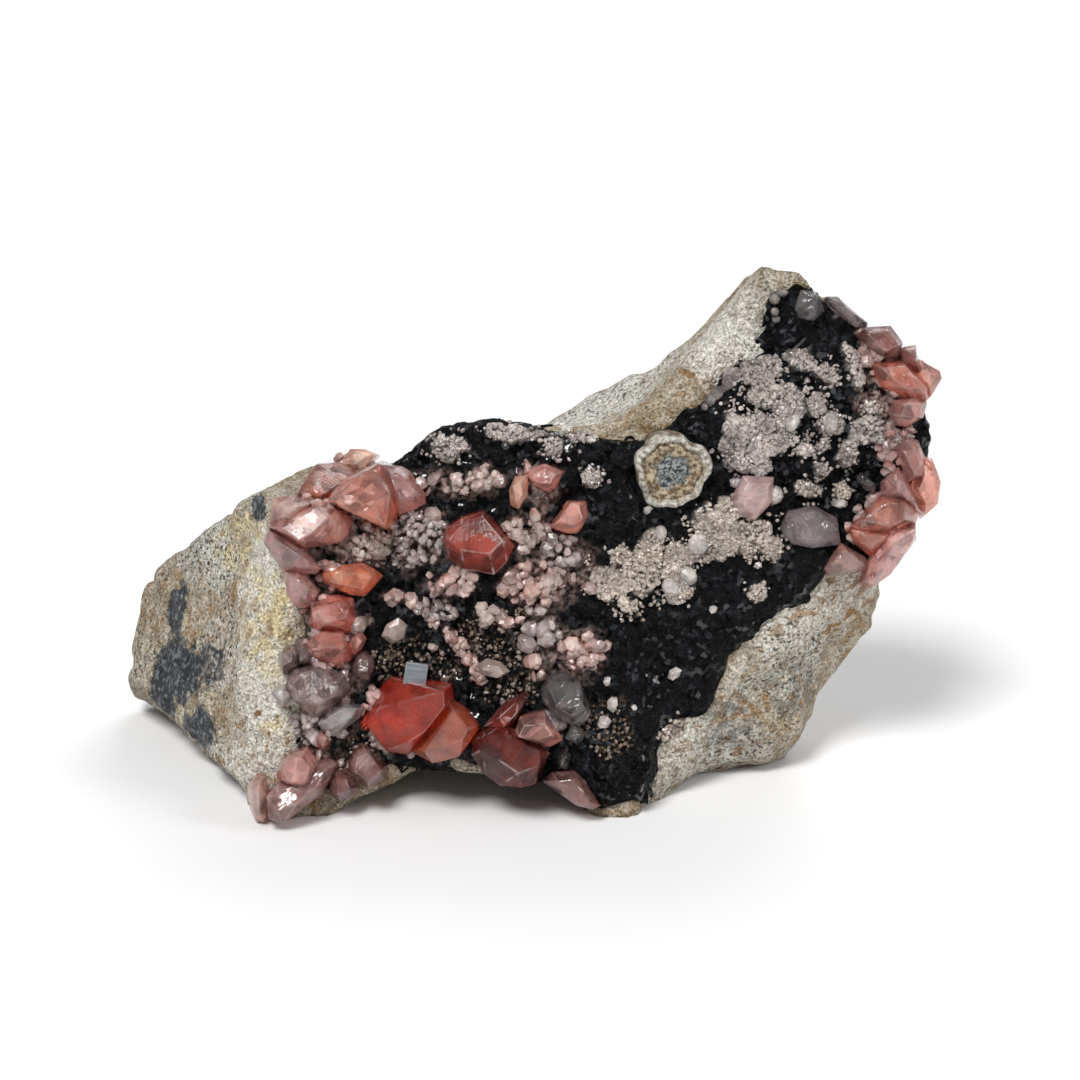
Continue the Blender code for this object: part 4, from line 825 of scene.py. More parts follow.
def crust_fine(points):
    """The field of the crust's outside: the rock's, less the crust's thickness and relief."""
    return rock_field(points) - crust_thickness(points) - crust_relief(points) * (crust_cover(points) > -1)


# %% [markdown]
# Black needs light to have a shape. The crust's finish is near black and moderately glossy, with
# bluish-grey flakes that glint: each Voronoi cell is a flake with its own chance, and the luckiest ones are
# smooth, coated and painted paler, a painted glint. Brown grit, beige sugar and the pink mat are laid over
# it by the masks painted on the points.

# %% The crust's finish
def crust_finish():
    """Black flakes with their own tilt and gloss, under grit, sugar, mat and a painted glow under the
    crystals.
    """
    plain = {"roughness": 0.5, "specular_ior_level": 0.08, "coat_roughness": 0.07}
    made, tree, shader = new_material("black_oxide", **plain)
    base = speckle(tree, 1.6, 0.35, 0.7, 4.0)
    colour = blended(tree, base, (0.001, 0.001, 0.0013), (0.005, 0.0055, 0.007))
    chance, height, tilted = facets(tree, 0.55, 1.0)
    glint = maths(tree, "MULTIPLY", spanned(tree, chance, 0.70, 0.86), speckle(tree, 2.5, 0.42, 0.58))
    # The luckiest flakes are painted paler bluish grey: a painted glint, besides their real coat and gloss.
    colour = blended(tree, maths(tree, "MULTIPLY", glint, 0.20), colour, (0.06, 0.075, 0.095))
    grains = speckle(tree, 0.55, 0.53, 0.62, 4.0)
    grit = maths(tree, "MULTIPLY", painted(tree, "grit").outputs["Fac"], grains)
    grit_colour = blended(tree, speckle(tree, 0.4, 0.4, 0.6), (0.035, 0.022, 0.012), (0.15, 0.105, 0.065))
    colour = blended(tree, grit, colour, grit_colour)
    tufts = speckle(tree, 1.0, 0.36, 0.52, 4.0)
    mat = maths(tree, "MULTIPLY", painted(tree, "mat").outputs["Fac"], tufts)
    mat_colour = blended(tree, speckle(tree, 0.6, 0.4, 0.6), (0.08, 0.05, 0.04), (0.38, 0.27, 0.24))
    colour = blended(tree, mat, colour, mat_colour)
    sugar = painted(tree, "sugar").outputs["Fac"]
    lumps = speckle(tree, 0.9, 0.35, 0.65, 4.0)
    sugar_colour = blended(tree, lumps, (0.24, 0.20, 0.18), (0.60, 0.55, 0.51))
    colour = blended(tree, sugar, colour, sugar_colour)
    dust = maths(tree, "MULTIPLY", speckle(tree, 0.3, 0.66, 0.71, 3.0), 0.15)
    colour = blended(tree, dust, colour, (0.30, 0.25, 0.20))
    # Under each crystal the crust takes the crystal's tint: a painted glow of light inside the crystal.
    root = painted(tree, "root")
    colour = blended(tree, root.outputs["Alpha"], colour, root.outputs["Color"])
    tree.links.new(colour, shader.inputs["Base Color"])
    rough = blended(tree, glint, (0.36, 0.36, 0.36), (0.15, 0.15, 0.15))
    pale = maths(tree, "MAXIMUM", sugar, mat)
    rough = blended(tree, pale, rough, (0.75, 0.75, 0.75))
    tree.links.new(rough, shader.inputs["Roughness"])
    tree.links.new(glint, shader.inputs["Coat Weight"])
    coarse = bumped(tree, speckle(tree, 1.0, 0.25, 0.75, 6.0), 0.50, 0.8, tilted)
    fine = bumped(tree, height, 0.12, 0.8, coarse)
    tree.links.new(fine, shader.inputs["Normal"])
    return made


CRUST_FINISH = crust_finish()

# %% [markdown]
# The crust is a sheet of square faces, one per ray. Its open rim is pushed down under the rock's surface and
# closed by a fan of triangles to the heart, which makes it a closed body.

# %% The crust's surface
FAN = np.array([8.0, 20.0, 20.0])
WINDOW_PLACE = 14.0
WINDOW_BEFORE, WINDOW_PAST = 5, 6
CRUST_STEP = 0.26
CRUST_STEPS = np.linspace(80, 9, 54)
COVER_KEPT = -1.3
LONGEST_SIDE = 6 * CRUST_STEP + 1.5
RIM_DEPTH = 1.6


def crust_surface():
    """A sheet over the outline's window, by rays that come in to the fan's point, and its square faces.

    Faces far outside the crust, or whose ray misses it, are left out.
    """
    low, high = CRUST_OUTLINE.min(axis=0) - WINDOW_BEFORE, CRUST_OUTLINE.max(axis=0) + WINDOW_PAST
    across, up = np.arange(low[0], high[0], CRUST_STEP), np.arange(low[1], high[1], CRUST_STEP)
    grid = np.stack(np.meshgrid(across, up, indexing="ij"), -1).reshape(-1, 2)
    window = grid @ PLANE - WINDOW_PLACE * AWAY
    rays = window - FAN
    rays /= np.linalg.norm(rays, axis=1)[:, None]
    starts = np.broadcast_to(FAN, rays.shape)
    points, found = crossings(starts, rays, CRUST_STEPS, crust_coarse, crust_fine, spread=1.6)
    kept = found & (crust_cover(points) > COVER_KEPT)
    quads = squares(np.arange(len(grid)).reshape(len(across), len(up)))
    spans = np.linalg.norm(points[quads] - points[np.roll(quads, 1, axis=1)], axis=2).max(axis=1)
    quads = quads[kept[quads].all(axis=1) & (spans < LONGEST_SIDE)]
    return points, quads


def largest_patch(quads, count):
    """The faces of the largest joined patch: each point keeps taking its neighbours' lowest number."""
    label = np.arange(count)
    while True:
        least = label[quads].min(axis=1)
        before = label.copy()
        np.minimum.at(label, quads.ravel(), np.repeat(least, 4))
        label = label[label]
        if (label == before).all():
            break
    names, sizes = np.unique(label[quads[:, 0]], return_counts=True)
    return quads[label[quads[:, 0]] == names[sizes.argmax()]]


def closed_to(quads, tip):
    """Triangles that join every open side of a sheet to one tip point, turned like the sheet."""
    sides = np.stack([quads, np.roll(quads, -1, axis=1)], -1).reshape(-1, 2)
    code = sides.min(axis=1).astype(np.int64) * (tip + 1) + sides.max(axis=1)
    _, first, counts = np.unique(code, return_index=True, return_counts=True)
    rim = sides[first[counts == 1]]
    return np.stack([rim[:, 1], rim[:, 0], np.full(len(rim), tip)], -1)


crust_points, crust_quads = crust_surface()
crust_quads = largest_patch(crust_quads, len(crust_points))
used, crust_quads = np.unique(crust_quads, return_inverse=True)
crust_quads = crust_quads.reshape(-1, 4)
crust_points = np.concatenate([crust_points[used], [HEART]])
crust_fan = closed_to(crust_quads, len(crust_points) - 1)
rim = np.unique(crust_fan[:, :2])
inward = HEART - crust_points[rim]
crust_points[rim] += RIM_DEPTH * inward / np.linalg.norm(inward, axis=1)[:, None]
print("crust:", len(crust_quads), "faces on its sheet and", len(crust_fan), "to close it")

# %% [markdown]
# ## The large crystals
#
# Rhodochrosite grows in blunt rhombs with a pearly skin, from milky pink to glassy red. Each crystal is the
# hull of three rings: a root sunk in the ground, an outline where it leaves the ground and a front face.
# The table gives, for each crystal, its tint, its outline on the drawing plane and its face with each
# corner's rise over the ground, all in millimetres.

# %% The table of crystals
CRYSTALS = {
    "crystals_upper_left": (
        ("brown_red",
         ((-24.6, 30.2), (-23.4, 32.4), (-22.8, 33.6), (-20.8, 33.8), (-19.4, 33.2), (-18.6, 32.4),
          (-19.6, 31), (-20.8, 29.4), (-22.6, 29.6)),
         ((-21.4, 33, 2.4), (-19.2, 32, 2), (-21.6, 30.2, 3), (-22.8, 31.2, 1.6))),
        ("peach",
         ((-19.8, 34.8), (-19.6, 35.6), (-18.2, 35.6), (-16.8, 35), (-17, 34.6), (-18.2, 33.2),
          (-19.2, 33.2), (-20.6, 33.8)),
         ((-19, 35, 1.6), (-17.6, 34.8, 1.6), (-18.8, 33.8, 1.8))),
        ("smoky_amber",
         ((-20.8, 29.4), (-20.4, 30.4), (-19.2, 31.8), (-17.8, 32.6), (-15.6, 33.6), (-14.4, 33),
          (-13.6, 30), (-13.6, 28), (-14.6, 26.6), (-16, 27.2), (-17.8, 27.8)),
         ((-17.8, 32, 3.6), (-14.8, 31.4, 4), (-14, 30.2, 4), (-16, 28.8, 5), (-17.8, 28, 4),
          (-20, 29.4, 3))),
        ("mauve",
         ((-15.2, 33.4), (-14.4, 33.4), (-13, 33.2), (-12, 32.6), (-10.4, 30.2), (-10.4, 29.2),
          (-11.8, 28.4), (-13.2, 28), (-14, 29.4)),
         ((-14.2, 32.6, 2.4), (-12.2, 31.8, 2.2), (-11.4, 30, 2), (-13.2, 29.8, 3))),
        ("pale_pink",
         ((-26.8, 28.6), (-26.6, 29.8), (-25, 30), (-23.4, 29.4), (-22.4, 29.2), (-24, 28), (-24.6, 27),
          (-26, 27), (-27, 27.2)),
         ((-25.6, 29, 2), (-23.8, 28.8, 2.2), (-24.8, 28, 2.4))),
        ("rosy",
         ((-26.8, 27.2), (-24, 27.6), (-22.2, 29.2), (-20.4, 28.8), (-19.2, 28.4), (-18.4, 27.4),
          (-18.6, 26), (-19.6, 25), (-21.4, 24.8), (-23.4, 24.4), (-24.6, 25.2), (-26.8, 26.6)),
         ((-23.4, 27.8, 3), (-21.8, 28.8, 2.4), (-20.6, 27.6, 3.4), (-22.2, 26, 4), (-23.6, 25.2, 3),
          (-25.6, 26.6, 2))),
        ("mauve_grey",
         ((-27.6, 25), (-27, 26.4), (-26, 25.8), (-23.4, 24.4), (-22.4, 23.4), (-21.4, 22.2),
          (-22.2, 21.6), (-23.6, 22.4), (-25.6, 22), (-26.8, 23.8)),
         ((-26, 25.2, 2.4), (-23.8, 23.8, 3), (-23.2, 22.6, 2.4), (-25.6, 23, 2))),
    ),
    "crystals_left_side": (
        ("pink_mauve",
         ((-25.4, 22), (-24, 22), (-22.6, 21), (-21.8, 19.8), (-22.2, 18.8), (-23.4, 18), (-24.4, 18.2),
          (-25.2, 19.6)),
         ((-23.8, 21, 2.4), (-22.8, 20.2, 2.8), (-23, 19, 2.4), (-24.2, 19.4, 2))),
        ("orange_red",
         ((-21.6, 21.8), (-19.2, 22.6), (-17.2, 22.8), (-16, 22.2), (-15, 21.4), (-16, 20.2), (-17, 19.2),
          (-18.6, 19.4), (-19.8, 20), (-21.2, 20.6)),
         ((-19.2, 22, 2), (-17.2, 21.4, 3), (-16, 21.4, 2.4), (-17, 20, 2.4), (-18.6, 20.4, 2.8),
          (-20.4, 20.8, 2))),
        ("red_pink",
         ((-23, 16.4), (-22.6, 18.2), (-21.4, 19.2), (-19.8, 19.4), (-18.2, 19), (-18, 16.8),
          (-18.4, 15.4), (-19.8, 15.8), (-22.2, 15.6)),
         ((-22, 17.8, 3), (-19.8, 18.6, 2.4), (-18.8, 17, 2.8), (-21, 16.4, 3.6))),
        ("red_pink",
         ((-23.2, 14), (-22.6, 15), (-21.2, 15.8), (-19.2, 15.6), (-18.4, 14.4), (-18.4, 12.4),
          (-19.4, 11.4), (-22.4, 12.4)),
         ((-22.4, 13.6, 3.6), (-19, 14, 3.6), (-19.4, 15.2, 2.4), (-21.2, 15.4, 2.4))),
        ("rosy",
         ((-18.4, 14.8), (-17.4, 15.4), (-16.8, 14.6), (-17.4, 13.4), (-18.2, 12.8), (-18.8, 13.8)),
         ((-17.8, 14.8, 1.8), (-17.2, 14.4, 1.8), (-17.8, 13.6, 2.2))),
        ("grey_lilac",
         ((-26.2, 12.6), (-25.6, 13.8), (-24.6, 14), (-24, 13.2), (-24.2, 11.8), (-25.6, 10.8), (-26, 11.6)),
         ((-25.6, 13.4, 2), (-24.6, 13.4, 2), (-24.6, 12.4, 2.4), (-25.6, 11.8, 2))),
        ("grey_lilac",
         ((-24.2, 13.8), (-23.4, 14.2), (-22.4, 13.2), (-22.6, 12), (-24, 11.8)),
         ((-23.6, 13.4, 1.8), (-23, 12.8, 1.8), (-23.8, 12.4, 2))),
        ("grey_lilac",
         ((-25.4, 9.4), (-25.2, 10.6), (-24.6, 11.4), (-23, 11.8), (-21.4, 11.8), (-19.2, 10.8),
          (-18.6, 9.4), (-19.4, 8.2), (-20.6, 7.2), (-22.2, 5.8), (-23.4, 6.8), (-24.8, 8.2)),
         ((-23.8, 11, 2.4), (-21.8, 11.4, 2.4), (-19.8, 10.2, 3), (-19.8, 8.8, 3), (-21.6, 7.8, 3.6),
          (-23.6, 8.2, 3.6), (-24.4, 9.6, 2.4))),
        ("clear_grey",
         ((-22.2, 5.8), (-20.6, 7.2), (-19.2, 7.8), (-17.4, 7.4), (-17, 7), (-17.6, 6), (-20.4, 4),
          (-21.6, 4.6)),
         ((-21.4, 5.8, 2), (-19.2, 7.2, 2.4), (-17.8, 7.2, 2.4), (-18.4, 6.2, 2.6), (-20.6, 5, 2.2))),
        ("clear_grey",
         ((-27, 8.8), (-26.2, 9.6), (-25.4, 9.8), (-24.8, 8.6), (-25.6, 7.4), (-26.2, 7.8)),
         ((-26.2, 9, 1.4), (-25.6, 9.2, 1.4), (-25.6, 8.2, 1.6))),
        ("smoky",
         ((-18.4, 11.8), (-17.8, 13), (-17, 13.4), (-16.2, 12.6), (-16, 11.6), (-16.6, 10.2),
          (-17.6, 10.2), (-18.4, 11)),
         ((-17.6, 12.4, 1.8), (-16.6, 12.2, 2), (-16.6, 11.2, 2), (-17.6, 11, 2))),
    ),
    "crystals_left_foot": (
        ("frosted_pink",
         ((-26.4, 0.2), (-26, 1.6), (-24.6, 2.4), (-23.2, 3), (-22.4, 2), (-21.8, 1), (-22.6, -0.8),
          (-23.8, -1.4), (-25.2, -1), (-26.2, -0.4)),
         ((-25.6, 1.4, 3.4), (-23.6, 2.2, 3.4), (-22.6, 1, 3.4), (-23.2, -0.6, 3.4), (-25, -0.4, 3.4))),
        ("pale_pink",
         ((-29.6, -1.2), (-28.8, -0.4), (-28, -0.6), (-27.4, -2.2), (-27.6, -4.4), (-28, -5.2),
          (-28.8, -5.2), (-29.4, -3.8)),
         ((-28.8, -1.4, 2), (-28.2, -1.8, 2), (-28.2, -4, 2), (-28.8, -3.8, 1.8))),
        ("pink_lilac",
         ((-27.4, -2.2), (-26.2, -0.8), (-24, -0.4), (-21.2, 1.8), (-19.8, 1.2), (-20.4, -0.2),
          (-21.8, -2.2), (-24, -4), (-25.8, -5.2), (-27.2, -4.6)),
         ((-26.2, -2, 2), (-24, -1.4, 2.4), (-21, 0.8, 2.4), (-22, -1.2, 3), (-24, -2.8, 3),
          (-26, -3.8, 2))),
        ("dusky",
         ((-20.8, -0.8), (-20.2, 0.4), (-19.2, 0.6), (-18.2, -0.2), (-17.8, -1.6), (-18.6, -2.8),
          (-19.8, -2.8), (-20.8, -2.2)),
         ((-20, -0.4, 2), (-19, -0.4, 2), (-18.6, -1.6, 2.2), (-19.8, -2, 2))),
        ("dusky",
         ((-18.8, 1.4), (-18.4, 2.2), (-17.4, 3.4), (-16.2, 2.6), (-14.6, 0.8), (-15, -0.6), (-16.6, -1.6),
          (-17.8, -1), (-18.8, 0.4)),
         ((-17.8, 1.8, 3), (-16.6, 2.4, 2.8), (-15.2, 0.6, 2.8), (-16.6, -0.6, 3), (-18, 0.4, 2.8))),
        ("pink_lilac",
         ((-22.4, 4), (-21.8, 4.8), (-20.8, 4.2), (-20.6, 3.2), (-21.4, 2.4), (-22.2, 3)),
         ((-21.8, 4, 1.8), (-21, 4, 1.8), (-21.4, 3, 2))),
    ),
    "red_crystals_front": (
        ("hero_red",
         ((-17.8, 5.4), (-16, 9), (-14.2, 10.4), (-10.4, 9.8), (-8, 9.6), (-7.6, 7.6), (-9, 5.4),
          (-11, 3.4), (-12.4, 2), (-14.6, 2), (-16, 3.4)),
         ((-17, 5.4, 3), (-15.4, 7.2, 4), (-12.4, 8.4, 4.6), (-8.4, 9.2, 4), (-8.2, 7.6, 4.4),
          (-10.4, 4.8, 5), (-12.6, 3.4, 5), (-14.6, 2.6, 4))),
        ("amber_red",
         ((-7.8, 8), (-6.2, 7), (-4.8, 5.4), (-4.8, 4.8), (-6, 4.2), (-6.8, 2), (-9.6, 1.2), (-11, 1.8),
          (-12, 2.4), (-11, 4.2)),
         ((-7.4, 7.2, 3), (-5.8, 5.2, 2.6), (-6.4, 4, 3), (-9.2, 3.6, 3.8), (-10.4, 2.6, 3))),
    ),
    "dark_red_crystal_upper": (
        ("dark_red",
         ((-8.6, 25.2), (-8, 26.6), (-6.4, 27.6), (-4, 28.4), (-3, 27.4), (-0.8, 24.8), (-1.6, 23),
          (-3, 21.6), (-6.2, 22.2), (-7.8, 23.4)),
         ((-6.4, 27, 3), (-4.2, 27.8, 3), (-2, 25.2, 3.6), (-3.4, 23.8, 4.4), (-6.4, 24.2, 4),
          (-8, 25.4, 2.6))),
    ),
    "dark_red_crystals_lower": (
        ("maroon",
         ((-5.4, 4), (-4.2, 5.2), (-1.8, 5.8), (-0.4, 5), (3, 2.4), (2.4, 0.8), (1.4, -1), (-0.2, -1.4),
          (-2.4, -1.2), (-4, 0), (-5.4, 2.2)),
         ((-4, 4.4, 4), (-1.6, 4.6, 4.4), (1.8, 2.8, 4), (1.8, 1.2, 4), (-0.4, 0.4, 4), (-2.4, 1.6, 5),
          (-4.2, 3, 4.2))),
        ("maroon",
         ((-4.2, 5.2), (-3.2, 6.4), (-1.8, 8), (0.4, 9), (0.8, 8.6), (-0.2, 6.6), (-1, 5)),
         ((-2.4, 6.4, 2.4), (-0.4, 8.2, 2), (-0.6, 6.8, 2.6), (-2, 5.2, 3.2))),
        ("brown_pink",
         ((-1.2, 5), (-0.4, 6.4), (2.4, 7), (3.8, 5), (4.4, 3.8), (2.8, 3), (-0.2, 3.6)),
         ((0.2, 5.6, 5), (2.4, 5.8, 4.4), (3.2, 4.6, 4), (1.8, 4, 4.6), (-0.4, 4.4, 5))),
    ),
    "pink_crystal_toe": (
        ("brown_pink",
         ((2.2, -0.8), (3.2, 0.2), (5.6, 0.4), (6.8, -0.8), (7.2, -2), (8.4, -3.4), (7.6, -3.8),
          (5.8, -3.4), (4, -2)),
         ((3.8, -0.6, 2.2), (5.4, -0.4, 2.2), (6.4, -1.6, 2.2), (7.2, -3, 1.4), (5.8, -2.8, 2),
          (4.4, -1.6, 2.2))),
    ),
    "clear_crystals_lower": (
        ("clear",
         ((2, 9.4), (2.8, 10.8), (4.8, 11), (6.2, 10), (7, 8.2), (7.4, 6.8), (6.6, 5.4), (5.2, 5.4),
          (3.8, 6.2), (2.2, 7.8)),
         ((2.8, 9.6, 3), (4.6, 10.2, 2.8), (6, 9.2, 3), (6.6, 7.2, 3), (5.4, 6.4, 3.6), (3.8, 7.4, 3.6))),
        ("clear",
         ((3.8, 2), (4.8, 3.2), (5.2, 2), (4.8, 0.6), (3.8, 0.6)),
         ((4.2, 2.2, 1.6), (4.8, 2, 1.6), (4.2, 1, 1.6))),
        ("clear",
         ((4.6, 4), (5.4, 5.8), (6.6, 4.8), (6.6, 3.8), (5.8, 3.2)),
         ((5.2, 4.4, 1.6), (6.2, 4.4, 1.6), (5.6, 3.6, 1.6))),
    ),
    "pink_crystals_upper": (
        ("frosted_pink",
         ((0.4, 32.2), (1.2, 33), (2.4, 33.4), (4.4, 32.6), (4, 31.6), (3.6, 30.8), (2.8, 30.4), (1.2, 31)),
         ((1.2, 32.2, 2.6), (2.4, 32.8, 2.4), (3.6, 32.2, 2.4), (3, 31.2, 3), (1.4, 31.4, 3))),
        ("pale_pink",
         ((0.2, 33.8), (0.4, 34), (1, 33.2), (1.2, 32.2), (0.2, 32.2)),
         ((0.4, 33.4, 1.2), (0.6, 32.6, 1.6), (0.4, 32.6, 1.4))),
        ("peach",
         ((-1.4, 30.6), (-0.8, 32), (0.6, 32.2), (0.6, 30.2), (0.2, 29.4), (-0.4, 28.6), (-1.2, 29)),
         ((-1, 31, 2), (-0.2, 31.4, 2), (0, 30, 2.2), (-0.6, 29.4, 2))),
    ),
    "pink_crystal_right": (
        ("salmon_pink",
         ((3, 26.8), (3.8, 28), (4.6, 29.4), (5.6, 29.6), (6.8, 29.4), (7, 27.8), (6.4, 26.6), (5.8, 26),
          (4.8, 26), (3.6, 26.4)),
         ((3.8, 27.2, 3), (4.8, 28.2, 4), (5.6, 26.8, 3.6), (6.4, 27.4, 3), (6, 28.8, 3), (5.2, 29.2, 3))),
    ),
    "crystals_right_upper": (
        ("brown_pink",
         ((35.4, 47.4), (36.2, 48), (39.4, 48.2), (40.8, 46.4), (40.2, 44.8), (38.2, 44.8), (37.2, 45.8)),
         ((36.8, 47.2, 2.2), (39, 47.6, 2.2), (40, 46, 2.6), (38.6, 45.4, 3))),
        ("frosted_pink",
         ((40.4, 45.6), (41, 46), (42.2, 46.2), (42.4, 44.8), (42.6, 43.2), (40.8, 44.2)),
         ((41, 45.6, 1.8), (42, 45.6, 1.6), (42, 44.4, 2))),
        ("salmon_red",
         ((37.4, 44.2), (40.4, 44.6), (41.2, 44.2), (43.8, 41.8), (43.4, 40.2), (42.2, 40), (40.4, 41),
          (38.2, 41.8)),
         ((38.2, 43.6, 2.4), (40.8, 43.8, 2.6), (43, 41.6, 2.2), (40.8, 41.4, 3.2))),
        ("salmon_pink",
         ((42.2, 44.2), (42.6, 44.6), (44.8, 43.4), (45, 42.6), (43.8, 40.6), (42.6, 41.8)),
         ((42.8, 43.8, 1.2), (44.4, 43.2, 1), (43.6, 41.6, 1.4))),
        ("frosted_pink",
         ((39.8, 40.2), (42.2, 40.8), (43.4, 40), (43, 38.4), (41.2, 37.4), (40, 37.6), (39.2, 38.8)),
         ((40.8, 39.8, 2.4), (42.6, 39.8, 2), (42.2, 38.4, 2), (40.4, 38.4, 2.4))),
    ),
    "crystals_right_lower": (
        ("frosted_pink",
         ((40, 35.2), (41.2, 36.2), (42.4, 36), (43.2, 34.4), (43.4, 32.2), (41.4, 31.4), (40.8, 33)),
         ((40.8, 34.6, 2.2), (42.2, 35.2, 2), (42.8, 33.8, 2), (42, 32.2, 2.6))),
        ("salmon_pink",
         ((43.2, 34.4), (44.2, 34), (45.2, 31.6), (45, 29.2), (43.8, 28), (42.6, 29.6), (42, 31.4),
          (42.6, 33)),
         ((43.4, 32.4, 1.8), (44.4, 32.2, 1.6), (44.6, 30, 1.6), (43.6, 29, 2), (42.8, 30.6, 2.2))),
        ("pink_mauve",
         ((38.8, 31.6), (40.4, 33.2), (41.4, 32.2), (43.4, 28.4), (42.6, 27.8), (38.8, 30)),
         ((40, 31.8, 2.4), (41, 31.4, 2.4), (42.6, 29, 2), (40.4, 30.4, 2.6))),
        ("salmon_red",
         ((35.4, 26.8), (38.8, 30.2), (41.2, 30), (43.2, 28.4), (42.6, 26.8), (40, 25.6), (36.8, 25.8)),
         ((36.4, 27.4, 3), (39, 29.2, 3.2), (41, 29.2, 3.2), (41, 27.4, 3.6), (39.4, 26.8, 3.6))),
        ("salmon_red",
         ((35, 26.6), (36.8, 27), (40, 26.6), (40, 24.6), (37.8, 23.4), (35.8, 25)),
         ((36.6, 26, 2.4), (39, 25.6, 2.6), (37.8, 24.4, 2.2))),
        ("pink_striated",
         ((37.2, 20.8), (37.6, 23.2), (40, 26.4), (42.8, 27.2), (43, 25.2), (41.6, 23.4), (40.2, 21.6),
          (38.2, 20.2)),
         ((38.6, 23, 2.4), (40.4, 25.4, 3), (42.4, 26.4, 2.6), (42.2, 25, 2.4), (40.4, 23, 2.6),
          (38.2, 21.2, 2))),
        ("brown_clear",
         ((32.6, 22.2), (34.4, 25), (37.2, 23.4), (37.8, 22.2), (35.4, 21.8), (33.2, 21.4)),
         ((33.8, 23, 1.6), (34.8, 24.2, 1.6), (36.8, 22.6, 1.6))),
    ),
    "pale_crystals_rim": (
        ("lilac",
         ((32.4, 51.2), (33.6, 51.2), (35.8, 49.6), (37, 48.4), (35.6, 48), (34, 49.2), (32.8, 50.4)),
         ((33.2, 50.8, 1.2), (34.2, 50.2, 1.6), (36, 48.8, 1.6))),
        ("clear",
         ((29, 50), (29.6, 51.8), (31.4, 51.6), (32.2, 49.6), (31, 48.6), (29.4, 49)),
         ((29.8, 50.4, 1.6), (30.8, 50.8, 1.6), (31, 49.6, 1.8), (30, 49.6, 1.8))),
    ),
    "lilac_plate_right": (
        ("lilac",
         ((27.8, 26.4), (28.6, 28.4), (31.4, 29), (34, 27.6), (34.4, 24.8), (31.4, 24.4), (29.2, 24.8)),
         ((28.6, 26.6, 1.6), (31, 28.2, 1.4), (33.4, 27, 1.4), (33.2, 25.2, 1.6), (29.6, 25.4, 1.6))),
    ),
    "mauve_plate_middle": (
        ("mauve_plate",
         ((22.2, 29.2), (23.6, 32.2), (27, 32), (26.8, 29.2), (25, 27.4), (23, 28)),
         ((23.2, 29.4, 1.4), (24.2, 31.4, 1.2), (26.4, 31.2, 1.2), (26.2, 29.4, 1.4), (24.6, 28.4, 1.6))),
    ),
    "clear_crystal_right": (
        ("clear",
         ((36, 32.2), (36.6, 32.6), (38.2, 31.2), (38.2, 30.4), (37.2, 30.6), (36.2, 31.6)),
         ((36.6, 32, 0.8), (37.6, 31.2, 0.8), (37.2, 31, 1))),
    ),
}

# %% [markdown]
# A tint is two colours and a frost: the colour deep in the crystal, the paler one towards its face, and how
# dull its skin is, from 0 for glass to 1 for a fully frosted face.

# %% The tints
TINTS = {
    "brown_red": ((0.50, 0.11, 0.05), (0.82, 0.40, 0.30), 0.20),
    "peach": ((0.92, 0.42, 0.27), (0.99, 0.70, 0.55), 0.50),
    "smoky_amber": ((0.80, 0.20, 0.07), (0.78, 0.50, 0.45), 0.10),
    "mauve": ((0.56, 0.22, 0.19), (0.78, 0.52, 0.50), 0.15),
    "pale_pink": ((0.90, 0.45, 0.37), (0.99, 0.74, 0.68), 0.50),
    "rosy": ((0.92, 0.30, 0.25), (0.98, 0.62, 0.55), 0.20),
    "mauve_grey": ((0.58, 0.28, 0.27), (0.80, 0.56, 0.55), 0.15),
    "pink_mauve": ((0.86, 0.38, 0.35), (0.96, 0.66, 0.61), 0.25),
    "orange_red": ((0.90, 0.20, 0.08), (0.97, 0.50, 0.32), 0.10),
    "red_pink": ((0.94, 0.20, 0.14), (0.98, 0.50, 0.42), 0.15),
    "grey_lilac": ((0.34, 0.24, 0.24), (0.58, 0.47, 0.47), 0.20),
    "clear_grey": ((0.74, 0.70, 0.70), (0.92, 0.89, 0.89), 0.10),
    "smoky": ((0.30, 0.16, 0.15), (0.56, 0.40, 0.38), 0.15),
    "frosted_pink": ((0.64, 0.24, 0.20), (0.84, 0.46, 0.41), 0.60),
    "pink_lilac": ((0.32, 0.11, 0.10), (0.50, 0.26, 0.24), 0.25),
    "dusky": ((0.20, 0.06, 0.05), (0.36, 0.15, 0.13), 0.20),
    "hero_red": ((0.74, 0.045, 0.014), (0.80, 0.17, 0.11), 0.40),
    "amber_red": ((0.84, 0.17, 0.04), (0.80, 0.34, 0.24), 0.20),
    "dark_red": ((0.16, 0.02, 0.013), (0.27, 0.06, 0.045), 0.12),
    "maroon": ((0.07, 0.008, 0.006), (0.17, 0.03, 0.022), 0.10),
    "brown_pink": ((0.30, 0.11, 0.085), (0.46, 0.25, 0.22), 0.15),
    "clear": ((0.88, 0.87, 0.87), (0.97, 0.96, 0.96), 0.05),
    "salmon_pink": ((0.94, 0.31, 0.21), (0.99, 0.55, 0.46), 0.25),
    "salmon_red": ((0.88, 0.20, 0.12), (0.95, 0.42, 0.32), 0.20),
    "pink_striated": ((0.86, 0.34, 0.30), (0.97, 0.62, 0.57), 0.25),
    "brown_clear": ((0.50, 0.25, 0.20), (0.70, 0.48, 0.43), 0.10),
    "lilac": ((0.66, 0.56, 0.59), (0.92, 0.85, 0.87), 0.15),
    "mauve_plate": ((0.50, 0.34, 0.34), (0.76, 0.60, 0.59), 0.25),
}
print("crystals:", sum(len(rows) for rows in CRYSTALS.values()), "in", len(CRYSTALS), "groups")

# %% [markdown]
# The ground under a crystal leans, so its rings lean with it. `footing` finds how deep the ground lies
# behind each place and how it slopes, from five lines of sight, over the stone as it would be without its
# open pocket.

# %% The ground under the crystals
CRYSTAL_GROUND = 1.9
SLOPE_STEP = 2.5
FOOTING_STEPS = 481
STEEPEST = 0.8
ROOT_SPREAD = 1.15
GIRDLE = 0.25
SINK = 4.5
LOWEST = 0.25


